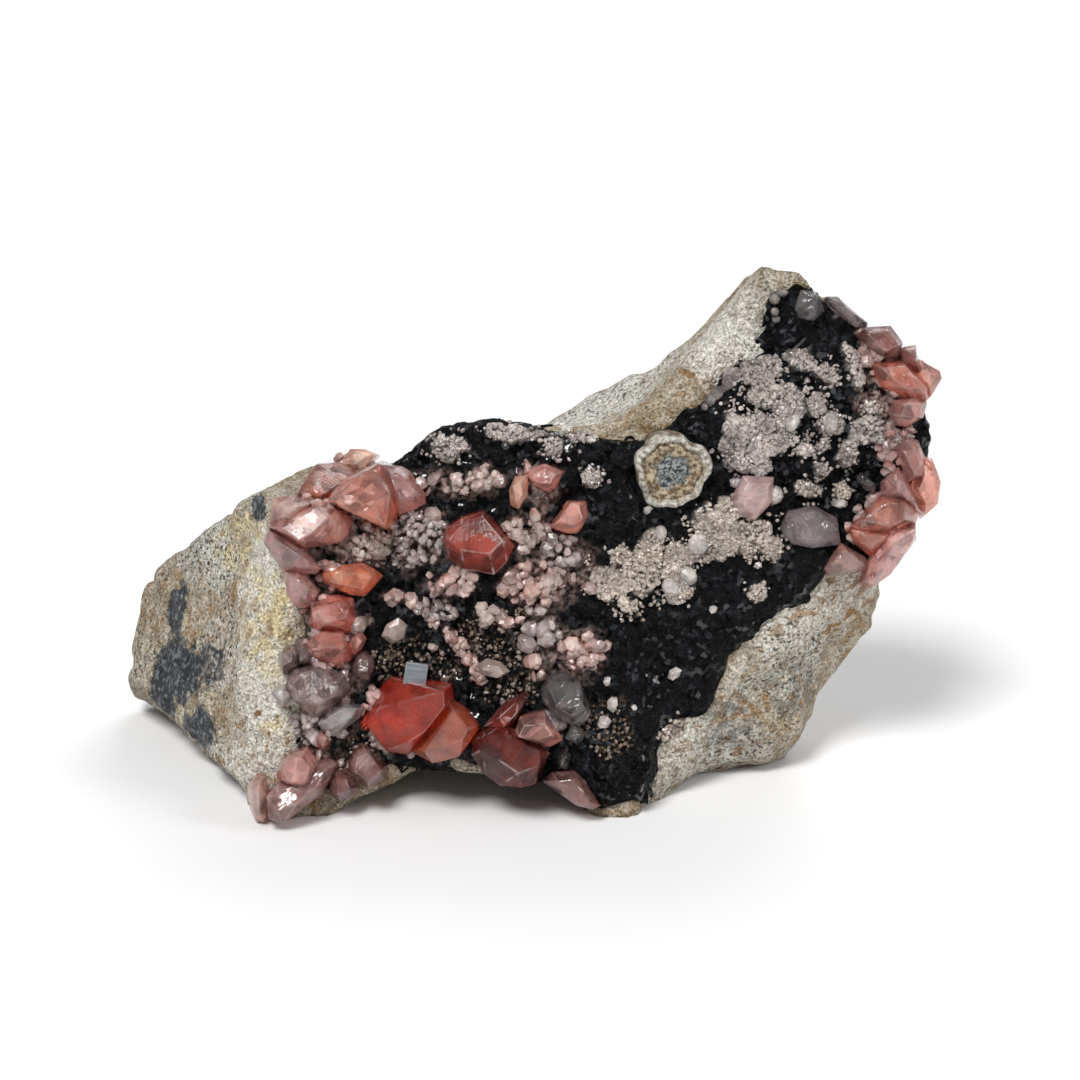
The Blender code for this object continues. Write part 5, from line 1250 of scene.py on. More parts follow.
def footing(places, pocket=False):
    """The depth of the ground along AWAY behind each place, and its slope per millimetre across and up.

    Where a line of sight misses the ground, its nearest miss stands in.
    """
    spots = places[:, None] + SLOPE_STEP * np.array([(0, 0), (1, 0), (-1, 0), (0, 1), (0, -1)])
    starts = spots.reshape(-1, 2) @ PLANE
    reach = np.linspace(NEAR, FAR, FOOTING_STEPS)
    lines = (starts[:, None] + AWAY * reach[:, None]).reshape(-1, 3)
    field = rock_field(lines, pocket).reshape(len(starts), -1) - CRYSTAL_GROUND
    at = np.where((field < 0).any(axis=1), np.argmax(field < 0, axis=1), np.argmin(field, axis=1))
    depth = reach[at].reshape(-1, 5)
    slope = np.stack([depth[:, 1] - depth[:, 2], depth[:, 3] - depth[:, 4]], 1) / (2 * SLOPE_STEP)
    return depth[:, 0], np.clip(slope, -STEEPEST, STEEPEST)


def rings(outline, face, depth, slope):
    """The three rings of a crystal: (middle + spread) on the plane, moved along AWAY by ground less rise.

    The front face is made flat: its rises become those of the plane that fits them best.
    """
    outline, face = np.array(outline, float), np.array(face, float)
    middle = outline.mean(axis=0)
    if len(face) > 3:
        sides = np.column_stack([face[:, :2], np.ones(len(face))])
        face[:, 2] = sides @ np.linalg.lstsq(sides, face[:, 2], rcond=None)[0]

    def placed(spread, rise):
        """Points at a spread from the crystal's middle and a rise over the leaning ground."""
        away = depth + spread @ slope - rise
        return (middle + spread) @ PLANE + away[:, None] * AWAY

    low = np.full(len(outline), GIRDLE * face[:, 2].max())
    root = placed(ROOT_SPREAD * (outline - middle), np.full(len(outline), -SINK))
    points = np.concatenate([root, placed(outline - middle, low), placed(face[:, :2] - middle, face[:, 2])])
    points[:, 2] = np.maximum(points[:, 2], LOWEST)
    return points


every_row = [row for rows in CRYSTALS.values() for row in rows]
FOOTING = footing(np.array([np.mean(outline, axis=0) for _, outline, _ in every_row]))
print("the deepest and nearest ground:", FOOTING[0].max(), FOOTING[0].min())

# %% [markdown]
# A real crystal has no razor edges, and its narrow edges catch the light. Each hull gets its nearly flat
# corners joined and every edge cut by a narrow facet, which is painted as `rim` and drawn paler: partly a
# frosted edge, partly a painted highlight. The crystal's own axes are painted on it too, so that the growth
# lines and clouds in its finish turn with it.

# %% One crystal as points, faces and paint
RIM_SHARE, RIM_LEAST, RIM_MOST = 0.022, 0.05, 0.14
LIGHT_LEAVES, GLOW_MOST = (0.9, -1.8), 0.75
FLAT_ANGLE = math.radians(11)


def cut_hull(points, rim):
    """The hull of the points with narrow facets on its edges: points, triangles, and 1 on those facets."""
    bm = bmesh.new()
    for point in points:
        bm.verts.new(point)
    made = bmesh.ops.convex_hull(bm, input=bm.verts)
    loose = {v for v in made["geom_interior"] + made["geom_unused"] if isinstance(v, bmesh.types.BMVert)}
    bmesh.ops.delete(bm, geom=list(loose), context="VERTS")
    bmesh.ops.dissolve_limit(bm, angle_limit=FLAT_ANGLE, verts=bm.verts, edges=bm.edges)
    layer = bm.faces.layers.int.new("rim")
    narrow = bmesh.ops.bevel(bm, geom=bm.edges, offset=rim, segments=1, affect="EDGES", clamp_overlap=True)
    for face in narrow["faces"]:
        face[layer] = 1
    bmesh.ops.triangulate(bm, faces=bm.faces)
    bmesh.ops.recalc_face_normals(bm, faces=bm.faces)
    bm.verts.index_update()
    corners = np.array([v.co[:] for v in bm.verts])
    faces = np.array([[v.index for v in f.verts] for f in bm.faces])
    rims = np.array([f[layer] for f in bm.faces], float)
    bm.free()
    return corners, faces, rims


def turned_axes(points, random):
    """The points seen along three random square axes: the crystal's own."""
    axes, _ = np.linalg.qr(random.normal(size=(3, 3)))
    return (points - points.mean(axis=0)) @ axes + random.uniform(-50, 50, 3)


def joined(parts):
    """Several (points, faces, paint on points, paint on faces) as one, the faces' numbers moved on."""
    starts = np.cumsum([0] + [len(part[0]) for part in parts[:-1]])
    points = np.concatenate([part[0] for part in parts])
    faces = np.concatenate([part[1] + start for part, start in zip(parts, starts)])
    on_points = {name: np.concatenate([part[2][name] for part in parts]) for name in parts[0][2]}
    on_faces = {name: np.concatenate([part[3][name] for part in parts]) for name in parts[0][3]}
    return points, faces, on_points, on_faces


def crystal(row, depth, slope, random):
    """One crystal of the table: its cut hull, painted with its tint, a painted glow, frost, rims, facets and
    own axes.
    """
    tint, outline, face = row
    deep, pale, frost = TINTS[tint]
    points = rings(outline, face, depth, slope)
    size = np.ptp(np.array(outline, float), axis=0).mean()
    corners, faces, rims = cut_hull(points, np.clip(RIM_SHARE * size, RIM_LEAST, RIM_MOST))
    rise = depth + (on_plane(corners) - np.mean(outline, axis=0)) @ slope - corners @ AWAY
    share = np.clip(rise / max(point[2] for point in face), 0, 1)[:, None]
    tint = np.array(deep) + share * (np.array(pale) - deep)
    # Towards the side where the light leaves, the tint is painted towards a brighter deep colour: a painted
    # glow.
    low = (on_plane(corners) - np.mean(outline, axis=0)) @ LIGHT_LEAVES / size
    glow = GLOW_MOST * np.clip(low, 0, 1)[:, None]
    tint += glow * (np.clip(1.3 * np.array(deep), 0, 1) - tint)
    on_points = {"tint": np.clip(tint * random.uniform(0.9, 1.05), 0, 1),
                 "frost": np.full(len(corners), frost), "own_axes": turned_axes(corners, random)}
    return corners, faces, on_points, {"rim": rims}


# %% [markdown]
# The finishes differ in how much light they let through. Clouds and growth lines follow the crystal's own
# axes; clouds make it paler and duller, lines are a slight relief.

# %% The crystals' finishes
def growth_group():
    """Clouds and growth lines along a crystal's own axes: two values from 0 to 1."""
    tree = bpy.data.node_groups.new("growth", "ShaderNodeTree")
    for name in ("Cloud", "Lines"):
        tree.interface.new_socket(name, in_out="OUTPUT", socket_type="NodeSocketFloat")
    leave = tree.nodes.new("NodeGroupOutput")
    axes = add_node(tree, "ShaderNodeAttribute", attribute_name="own_axes").outputs["Vector"]
    inputs = {"Vector": axes, "Scale": 0.55, "Detail": 4.0, "Distortion": 0.6}
    noise = add_node(tree, "ShaderNodeTexNoise", inputs).outputs["Fac"]
    cloud = spanned(tree, noise, 0.42, 0.70)
    flat = add_node(tree, "ShaderNodeVectorMath", {0: axes, 1: (0.25, 5.0, 0.6)}, operation="MULTIPLY")
    lines = add_node(tree, "ShaderNodeTexNoise", {"Vector": flat.outputs[0], "Scale": 1.0, "Detail": 3.0})
    tree.links.new(cloud, leave.inputs["Cloud"])
    tree.links.new(lines.outputs["Fac"], leave.inputs["Lines"])
    return tree


GROWTH = growth_group()


def crystal_finish(name, through, cloudiness, glow=0.0, chips=(1.3, 0.30), depth=(0.72, 1.20), polish=1.0):
    """A crystal that lets a share of the light through, with its tint, clouds, inner faces and rims.

    The chips are the inner faces' size in mm and tilt, and the depth is how dark and how bright they are
    painted: a painted shade and reflection.
    Polish is the share of the usual gloss.
    """
    made, tree, shader = new_material(name, ior=1.62, transmission_weight=through, subsurface_weight=glow,
                                      subsurface_radius=(1.0, 0.35, 0.28), subsurface_scale=0.0016,
                                      coat_weight=0.2 * polish, coat_roughness=0.1,
                                      specular_ior_level=0.5 * polish)
    growth = add_node(tree, "ShaderNodeGroup", node_tree=GROWTH)
    cloud = maths(tree, "MULTIPLY", growth.outputs["Cloud"], cloudiness)
    chance, _, tilted = facets(tree, *chips)
    tint = painted(tree, "tint").outputs["Color"]
    # Each chip's colour is scaled darker or brighter at random: painted shade and reflection of inner faces.
    deep = spanned(tree, chance, start=depth[0], end=depth[1])
    shade = add_node(tree, "ShaderNodeVectorMath", {0: tint, "Scale": deep}, operation="SCALE").outputs[0]
    veil = blended(tree, speckle(tree, 2.6, 0.36, 0.62, 2.0), (0.62, 0.58, 0.58), (1.22, 1.16, 1.12))
    shade = blended(tree, 1.0, shade, veil, "MULTIPLY")
    colour = blended(tree, cloud, shade, (0.90, 0.68, 0.63))
    # Paler where the rim mask is: on the crystals' edge facets partly frost and partly a painted highlight.
    rim = maths(tree, "MULTIPLY", painted(tree, "rim").outputs["Fac"], speckle(tree, 2.2, 0.45, 1.0))
    colour = blended(tree, rim, colour, (0.92, 0.78, 0.74))
    tree.links.new(colour, shader.inputs["Base Color"])
    frost = painted(tree, "frost").outputs["Fac"]
    dull = maths(tree, "ADD", maths(tree, "MULTIPLY", frost, 0.28), maths(tree, "MULTIPLY", cloud, 0.2))
    tree.links.new(maths(tree, "ADD", dull, 0.03, clamp=True), shader.inputs["Roughness"])
    lines = bumped(tree, growth.outputs["Lines"], 0.14, 0.7, tilted)
    fine = bumped(tree, speckle(tree, 0.5, 0.3, 0.7, 3.0), 0.05, 0.6, lines)
    tree.links.new(fine, shader.inputs["Normal"])
    return made


MILKY = crystal_finish("milky_rhodochrosite", 0.55, 0.35, 0.3, (1.2, 0.35), (0.68, 1.28))
GLASSY = crystal_finish("glassy_rhodochrosite", 0.72, 0.25, 0.2, (1.2, 0.45), (0.55, 1.45))
RED = crystal_finish("red_rhodochrosite", 0.75, 0.10, 0.6, (5.0, 0.06), (0.9, 1.1))
DEEP = crystal_finish("deep_red_rhodochrosite", 0.30, 0.05, 0.0, (2.0, 0.22), (0.6, 1.6), 0.05)
CLEAR = crystal_finish("clear_quartz", 0.95, 0.10, 0.0, (1.2, 1.2), (0.6, 1.2))
FINISHES = {
    "crystals_upper_left": GLASSY, "crystals_left_side": GLASSY, "crystals_left_foot": MILKY,
    "red_crystals_front": RED, "dark_red_crystal_upper": DEEP, "dark_red_crystals_lower": DEEP,
    "pink_crystal_toe": GLASSY, "clear_crystals_lower": CLEAR, "pink_crystals_upper": MILKY,
    "pink_crystal_right": MILKY, "crystals_right_upper": GLASSY, "crystals_right_lower": GLASSY,
    "pale_crystals_rim": CLEAR, "lilac_plate_right": CLEAR, "mauve_plate_middle": MILKY,
    "clear_crystal_right": CLEAR,
}

# %% [markdown]
# Every group of the table becomes one piece, which takes the place of the solid of the same name.

# %% Growing the large crystals
def nodes_like(name):
    """The solids of that name, with the separate bodies that carry a number after it."""
    found = []
    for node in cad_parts:
        words = node["name"] if isinstance(node, dict) else node
        tail = words[len(name):]
        if words.startswith(name) and (not tail or tail[1:].isdigit()):
            found.append(words)
    return found


row_number = 0
for name, rows in CRYSTALS.items():
    random = np.random.default_rng(1000 + row_number)
    parts = []
    for row in rows:
        parts.append(crystal(row, FOOTING[0][row_number], FOOTING[1][row_number], random))
        row_number += 1
    points, faces, on_points, on_faces = joined(parts)
    group = make_piece(name + "_look", points, faces, FINISHES[name], on_points, False, on_faces)
    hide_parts(*nodes_like(name))
    print(name, len(rows), "crystals", len(faces), "faces for", nodes_like(name))

# %% [markdown]
# ## The small crystals
#
# Between the large crystals sit hundreds of small ones, and sugary quartz lies on the crust in patches.
# Each is a copy of one of a few templates of a few dozen triangles. All copies of a group are placed as one
# array: on the crust's surface, heaped up towards the middle of their patch, along its normal and leaning a
# little.

# %% Templates for small crystals
def barrel(random):
    """A blunt six-sided crystal of radius 1: three rings of corners between two middles, rimmed on top."""
    turns = 2 * math.pi * (np.arange(6) + random.uniform(-0.15, 0.15, 6)) / 6
    rows = []
    for radius, height in ((0.60, -1.0), (1.0, 0.1), (0.62, 0.75)):
        reach = radius * random.uniform(0.85, 1.15, 6)
        heights = height + random.uniform(-0.1, 0.1, 6)
        rows.append(np.stack([reach * np.cos(turns), reach * np.sin(turns), heights], 1))
    points = np.concatenate([*rows, [(0, 0, -1.1)], [(0.1, 0, 0.88)]])
    faces = []
    for i in range(6):
        after = (i + 1) % 6
        faces += [(18, after, i), (12 + i, 12 + after, 19)]
        for low in (0, 6):
            faces += [(low + i, low + after, low + after + 6), (low + i, low + after + 6, low + i + 6)]
    return points, np.array(faces), np.array([0.0] * 6 + [0.5] * 6 + [1.0] * 6 + [0.0, 0.1])


def icosphere(subdivisions):
    """The points and triangles of a divided icosahedron of radius 1."""
    bm = bmesh.new()
    bmesh.ops.create_icosphere(bm, subdivisions=subdivisions, radius=1.0)
    points = np.array([v.co[:] for v in bm.verts])
    faces = np.array([[v.index for v in f.verts] for f in bm.faces])
    bm.free()
    return points, faces


def grain(random):
    """An angular grain of radius about 1: a jittered icosahedron."""
    points, faces = icosphere(1)
    points *= random.uniform(0.65, 1.2, len(points))[:, None]
    return points, faces, random.uniform(0, 1, len(points))


TEMPLATE_DRAW = np.random.default_rng(5)
BARRELS = [barrel(TEMPLATE_DRAW) for _ in range(6)]
GRAINS = [grain(TEMPLATE_DRAW) for _ in range(6)]
print("faces in a small crystal and in a grain:", len(BARRELS[0][1]), len(GRAINS[0][1]))

# %% [markdown]
# Each row of these tables is a patch: its place and half sizes on the drawing plane, its turn, the least
# and most radius of a crystal in it, how high it is heaped and its tint.

# %% Where small crystals grow
TINTS.update({
    "ledge_pink": ((0.80, 0.48, 0.42), (0.97, 0.80, 0.74), 0.4),
    "druse_pink": ((0.68, 0.34, 0.29), (0.94, 0.70, 0.63), 0.2),
    "druse_grey": ((0.34, 0.27, 0.26), (0.72, 0.63, 0.62), 0.1),
    "druse_beige": ((0.54, 0.38, 0.32), (0.88, 0.73, 0.65), 0.2),
    "sugar": ((0.22, 0.19, 0.175), (0.54, 0.505, 0.48), 0.5),
    "cream_sugar": ((0.30, 0.25, 0.19), (0.64, 0.59, 0.51), 0.5),
    "white_quartz": ((0.66, 0.62, 0.59), (0.88, 0.86, 0.83), 0.2),
})
DRUSE = {
    "pink_ledge": (
        ((-8.6, 31.5), (2.6, 1.3), 0, (0.40, 1.0), 1.6, "ledge_pink"),
        ((-4.8, 31.1), (2.5, 1.5), 0, (0.40, 0.9), 1.6, "ledge_pink"),
        ((-3.6, 32.0), (1.6, 1.0), 0, (0.35, 0.8), 1.4, "ledge_pink"),
        ((-10.2, 27.6), (0.9, 0.5), 0, (0.9, 1.3), 0.8, "ledge_pink")),
    "small_crystals_left": (
        ((-11.2, 25.4), (3.3, 2.9), 0, (0.25, 0.55), 1.8, "druse_grey"),
        ((-7.3, 20.9), (2.5, 1.6), 0, (0.35, 0.75), 1.6, "druse_pink"),
        ((-16.4, 25.0), (1.9, 1.8), 0, (0.25, 0.55), 1.2, "druse_beige"),
        ((-9.4, 17.9), (2.3, 1.3), 0, (0.25, 0.55), 1.2, "druse_grey")),
    "small_crystals_chain": (
        ((-13.3, 19.0), (2.2, 0.6), -9, (0.35, 0.75), 1.0, "druse_pink"),
        ((-10.0, 17.3), (2.2, 0.6), -45, (0.30, 0.65), 1.0, "druse_pink"),
        ((-7.4, 14.8), (1.8, 0.6), -42, (0.30, 0.65), 1.0, "druse_pink"),
        ((-5.5, 12.3), (1.7, 0.8), -63, (0.35, 0.70), 1.0, "druse_pink"),
        ((-4.6, 10.6), (1.2, 0.9), 0, (0.35, 0.70), 1.0, "druse_pink"),
        ((-17.0, 16.5), (0.8, 0.7), 0, (0.8, 1.2), 0.6, "druse_beige"),
        ((-14.2, 15.6), (0.6, 0.6), 0, (0.9, 1.2), 0.6, "druse_beige"),
        ((-9.9, 13.6), (0.3, 0.3), 0, (0.7, 0.9), 0.4, "druse_beige"),
        ((-2.8, 11.3), (0.4, 0.4), 0, (1.3, 1.6), 0.6, "druse_beige")),
    "small_crystals_middle": (
        ((0.2, 26.5), (2.3, 1.9), 0, (0.40, 0.9), 1.6, "ledge_pink"),
        ((4.1, 24.3), (1.9, 2.1), 0, (0.40, 0.8), 1.6, "druse_grey"),
        ((1.9, 20.6), (4.4, 2.1), 0, (0.35, 0.85), 1.8, "druse_pink"),
        ((-3.6, 17.6), (1.2, 0.9), 0, (0.5, 0.9), 1.0, "druse_beige"),
        ((-1.4, 16.5), (1.4, 0.9), 0, (0.5, 0.9), 1.0, "druse_pink"),
        ((1.9, 15.9), (2.0, 2.4), 0, (0.5, 1.2), 1.6, "druse_grey")),
    "small_crystals_lower": (
        ((6.4, 13.4), (2.5, 2.1), 0, (0.40, 0.9), 1.6, "druse_pink"),
        ((1.6, 11.2), (0.8, 1.3), 0, (0.40, 0.8), 1.0, "druse_pink")),
}


def spread(rows, cover, random):
    """Places, radii, heights and tints for enough small crystals to cover each patch so many times."""
    found = []
    for place, half_sizes, turn, (least, most), height, tint in rows:
        count = max(1, round(cover * half_sizes[0] * half_sizes[1] * 4 / (least + most) ** 2))
        far, angle = np.sqrt(random.uniform(0, 1, count)), random.uniform(0, 2 * math.pi, count)
        wavy = 1 + 0.14 * np.sin(3 * angle + place[0]) + 0.10 * np.sin(5 * angle + place[1])
        flat = np.stack([np.cos(angle), np.sin(angle)], 1) * half_sizes * (far * wavy)[:, None]
        turn = math.radians(turn)
        turned = np.array([(math.cos(turn), math.sin(turn)), (-math.sin(turn), math.cos(turn))])
        flat = flat @ turned + place
        deep, pale, frost = (np.broadcast_to(value, (count, np.size(value))) for value in TINTS[tint])
        lift = height * (1 - far ** 2) * random.uniform(0.1, 1.0, count)
        found.append(np.column_stack([flat, random.uniform(least, most, count), lift, deep, pale, frost]))
    return np.concatenate(found)


STRETCH, TONES, SEATED = (0.65, 1.35), (0.6, 1.1), 0.25
BED_CHANCE = (-0.08, 0.9)


def strewn(name, rows, templates, cover, lean, finish, seed, mask=None):
    """A piece of small crystals on the crust: each is (template @ axes) x radius + place."""
    random = np.random.default_rng(seed)
    drawn = spread(rows, cover, random)
    ground, found = seat(drawn[:, :2], crust_coarse, crust_fine)
    if mask:
        found &= mask(ground) > random.uniform(*BED_CHANCE, len(ground))
    drawn, ground = drawn[found], ground[found]
    count = len(ground)
    normal = slopes(ground)
    axis = normal + lean * random.normal(size=(count, 3))
    axis /= np.linalg.norm(axis, axis=1)[:, None]
    side = np.cross(axis, random.normal(size=(count, 3)))
    side /= np.linalg.norm(side, axis=1)[:, None]
    shape = np.stack([side, np.cross(axis, side), axis], 1) * random.uniform(*STRETCH, (count, 3, 1))
    centre = ground + normal * (drawn[:, 3] + SEATED * drawn[:, 2])[:, None]
    which = random.integers(0, len(templates), count)
    corners = np.stack([template[0] for template in templates])[which]
    points = centre[:, None] + (corners @ shape) * drawn[:, 2, None, None]
    steps = np.arange(count)[:, None, None] * corners.shape[1]
    faces = np.stack([template[1] for template in templates])[which] + steps
    share = np.clip(0.5 + 0.5 * corners[..., 2:], 0, 1)
    tone = random.uniform(*TONES, (count, 1, 1))
    tint = (drawn[:, None, 4:7] + share * (drawn[:, None, 7:10] - drawn[:, None, 4:7])) * tone
    own = corners * drawn[:, 2, None, None] + random.uniform(-50, 50, (count, 1, 3))
    frost = np.repeat(drawn[:, 10], corners.shape[1])
    rim = np.stack([template[2] for template in templates])[which]
    on_points = {"tint": tint.reshape(-1, 3), "frost": frost, "rim": rim.ravel()}
    on_points["own_axes"] = own.reshape(-1, 3)
    points = points.reshape(-1, 3)
    points[:, 2] = np.maximum(points[:, 2], LOWEST)
    piece = make_piece(name + "_look", points, faces.reshape(-1, 3), finish, on_points, False)
    if nodes_like(name):
        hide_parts(*nodes_like(name))
    print(name, count, "crystals, turned back:", nodes_like(name))
    return piece


# %% [markdown]
# More small crystals fill the gaps between the large ones. Sugar lies only where the crust has a bed for it.

# %% Growing the small crystals
BETWEEN = (
    ((-22.5, 27.5), (2.8, 2.4), 0, (0.4, 0.9), 1.2, "druse_pink"),
    ((-21.5, 20), (2.8, 3), 0, (0.4, 0.9), 1.0, "rosy"),
    ((-21.6, 12), (2.8, 5), 0, (0.4, 0.9), 1.0, "mauve_grey"),
    ((-22.5, 5.2), (3, 2.4), 0, (0.3, 0.8), 1.0, "druse_grey"),
    ((-22, 0.5), (4, 1.6), 0, (0.4, 1.0), 1.0, "druse_pink"),
    ((-18, 33.6), (3.6, 1.2), 0, (0.3, 0.7), 0.8, "druse_pink"),
    ((40, 43.5), (2.4, 3.8), 50, (0.4, 0.9), 1.0, "druse_pink"),
    ((40.5, 36), (1.8, 4.5), 0, (0.4, 0.9), 1.0, "pink_lilac"),
    ((38, 27), (3.6, 3), 40, (0.4, 0.9), 0.8, "druse_pink"),
    ((-13, 3.4), (5, 1.0), 0, (0.4, 0.8), 0.6, "druse_beige"),
    ((2.5, 5), (2, 3), 0, (0.4, 0.9), 0.8, "druse_grey"),
    ((-16, 7.6), (1.4, 1.8), 0, (0.4, 0.8), 0.6, "pink_mauve"),
)
# How many times the crystals of a patch would cover it, laid side by side, and how far they lean.
BETWEEN_COVER, DRUSE_COVER, SUGAR_COVER, GRIT_COVER, ONE_EACH = 1.6, 2.3, 3.6, 0.40, 0.001
DRUSE_LEAN, SUGAR_LEAN, BULB_LEAN = 0.5, 0.6, 0.1
DRUSE_FINISH = crystal_finish("druse", 0.40, 0.30, 0.15, (0.8, 0.35))
SUGAR_FINISH = crystal_finish("sugary_quartz", 0.12, 0.20, 0.0, (0.3, 0.5))
strewn("druse_between", BETWEEN, BARRELS, BETWEEN_COVER, DRUSE_LEAN, DRUSE_FINISH, 290)
for number, (name, rows) in enumerate(DRUSE.items()):
    strewn(name, rows, BARRELS, DRUSE_COVER, DRUSE_LEAN, DRUSE_FINISH, 300 + number)


SUGAR_TINTS = {"quartz_patch_lower": "cream_sugar", "quartz_patch_middle": "cream_sugar"}
SUGAR_RADII = (0.11, 0.32)
SUGAR_WIDER, SUGAR_HEAP = 1.5, 0.45
for number, (name, rows) in enumerate(SUGAR.items()):
    tint = SUGAR_TINTS.get(name, "sugar")
    heaps = [(place, np.array(half) * SUGAR_WIDER, turn, SUGAR_RADII, SUGAR_HEAP, tint)
             for place, half, turn, _ in rows]
    strewn(name, heaps, GRAINS, SUGAR_COVER, SUGAR_LEAN, SUGAR_FINISH, 400 + number, bed)


# %% [markdown]
# Last come loose things on the crust: brown grit in its hollows, single white crystals, round white bulbs
# among the sugar and a row of small grey domes along the crust's upper edge.

# %% Grit, single crystals, bulbs and domes
def ball(random):
    """A smooth bulb of radius 1: a twice divided icosahedron, slightly flattened."""
    points, faces = icosphere(2)
    return points * (1, 1, random.uniform(0.75, 1.0)), faces, np.zeros(len(points))


BALLS = [ball(TEMPLATE_DRAW) for _ in range(3)]
TINTS.update({
    "grit": ((0.05, 0.03, 0.016), (0.20, 0.135, 0.08), 0.9),
    "grey_dome": ((0.05, 0.045, 0.04), (0.14, 0.13, 0.125), 0.9),
    "white_bulb": ((0.36, 0.34, 0.32), (0.66, 0.64, 0.61), 0.9),
})
SINGLES = (((16.4, 10.9), 0.75), ((9.7, 7.6), 0.7), ((8.8, 5.7), 0.8), ((9.1, 10.1), 0.5),
           ((20.6, 17.8), 0.4), ((13.4, 28.5), 0.5), ((23.1, 31.4), 0.7), ((34.2, 29.3), 0.8),
           ((12.0, 7.2), 0.3), ((25.5, 22.6), 0.4))
BULBS = (((28.9, 37.9), 1.0), ((33.0, 37.9), 1.1), ((27.1, 30.2), 1.1), ((17.7, 21.5), 1.0),
         ((15.9, 20.3), 0.9), ((18.9, 24.9), 0.9), ((14.8, 26.1), 0.6))
DOMES = (((20.2, 40.2), 0.7), ((20.9, 40.9), 0.8), ((21.6, 41.5), 0.6), ((22.3, 42.2), 0.8),
         ((22.9, 42.8), 0.7), ((23.9, 43.7), 0.7), ((26.8, 51.0), 0.8), ((26.9, 49.7), 0.6),
         ((27.1, 48.9), 0.5), ((24.9, 44.1), 0.5), ((27.6, 51.6), 0.6), ((19.5, 39.5), 0.6))
DOT = (0.01, 0.01)


def dots(places, lift, tint):
    """A patch of one crystal at each place, of the radius given there."""
    return [(place, DOT, 0, (radius, radius * 1.05), lift, tint) for place, radius in places]


GRIT_RADII, GRIT_HEAP = (0.10, 0.30), 0.15
grit = [(place, half, turn, GRIT_RADII, GRIT_HEAP, "grit") for place, half, turn, _ in GRIT]
strewn("grit", grit, GRAINS, GRIT_COVER, SUGAR_LEAN, SUGAR_FINISH, 501)
singles, bulbs = dots(SINGLES, 0.3, "white_quartz"), dots(BULBS, 0.4, "white_bulb")
strewn("single_crystals", singles, BARRELS, ONE_EACH, DRUSE_LEAN, DRUSE_FINISH, 502)
strewn("white_bulbs", bulbs, BALLS, ONE_EACH, BULB_LEAN, SUGAR_FINISH, 503)
strewn("grey_domes", dots(DOMES, 0.1, "grey_dome"), BALLS, ONE_EACH, BULB_LEAN, SUGAR_FINISH, 504)

# %% [markdown]
# The crust under a crystal is painted with the crystal's own tint, a painted glow of light from inside the
# crystal instead of black, which stays dim under the clear ones. Under the small crystals lies a pink mat.

# %% Painting the crust
PAINTED_GLOW_DIM = {"clear": 0.14, "clear_grey": 0.16, "lilac": 0.5, "maroon": 0.6, "grey_lilac": 0.4, "smoky": 0.4}
ROOT_INSET, ROOT_DEPTH = 0.15, 9
MAT_UNDER_DRUSE = 0.9


def painted_glow_under_crystals(points):
    """A painted glow: the middle tint of the crystal over each point, with a fourth value of 1 where one is.
    """
    flat, depth = on_plane(points), points @ AWAY
    paint = np.zeros((len(points), 4))
    for number, (tint, outline, _) in enumerate(every_row):
        outline = np.array(outline, float)
        middle = outline.mean(axis=0)
        reach = np.abs(outline - middle).max() + 1
        beside = np.abs(flat - middle).max(axis=1) < reach
        near = np.flatnonzero(beside & (np.abs(depth - FOOTING[0][number]) < ROOT_DEPTH))
        inside = near[inside_by(flat[near], outline) > ROOT_INSET]
        paint[inside] = (*(np.mean(TINTS[tint][:2], axis=0) * PAINTED_GLOW_DIM.get(tint, 1.0)), 1.0)
    return paint


druse_rows = sum(DRUSE.values(), ())
under_druse = [(place, np.array(half) * MAT_UNDER_DRUSE, turn, 1) for place, half, turn, *_ in druse_rows]
mats = grounded((*MATS, *under_druse))
crust_paint = {
    "root": painted_glow_under_crystals(crust_points),
    "sugar": bed(crust_points),
    "mat": patches(crust_points, mats, 131, 0.35, 5.0),
    "grit": patches(crust_points, grounded(GRIT), 171, 0.5, 5.0),
}
crust = make_piece("crust", crust_points, [crust_quads, crust_fan], CRUST_FINISH, crust_paint)
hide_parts("black_crust")

# %% [markdown]
# ## The nodule and the cube
#
# The nodule is a low round boss of pale rings. Its surface is a disc of rings and spokes: each spoke
# follows the profile, the white ring is scalloped into beads, and a gap opens its lower left. The cube is
# small, grey and metallic, with fine lines on its faces.

# %% The nodule's surface
NODULE_PLACE = (15.9, 33.0)
NODULE_RADII = (0.0, 0.7, 1.5, 2.1, 2.6, 2.95, 3.15, 3.55, 3.95, 4.15, 4.2)
NODULE_HEIGHTS = (0.75, 0.65, 0.7, 1.05, 1.20, 1.10, 0.85, 1.45, 1.15, 0.3, -1.6)
NODULE_RINGS, NODULE_SPOKES, BEADS = 64, 200, 26
OPENING, OPENING_WIDTH, OPENING_DEPTH = math.radians(228), 0.42, 0.7
BEAD_RING, BEAD_WIDTH = 3.6, 0.5
NODULE_LIFT, NODULE_SINK = 0.3, 0.35
NODULE_MOUNDS = ((0.8, 0.42, 501), (0.4, 0.26, 502))
NODULE_SWELLS = ((1.5, 0.3, 503),)


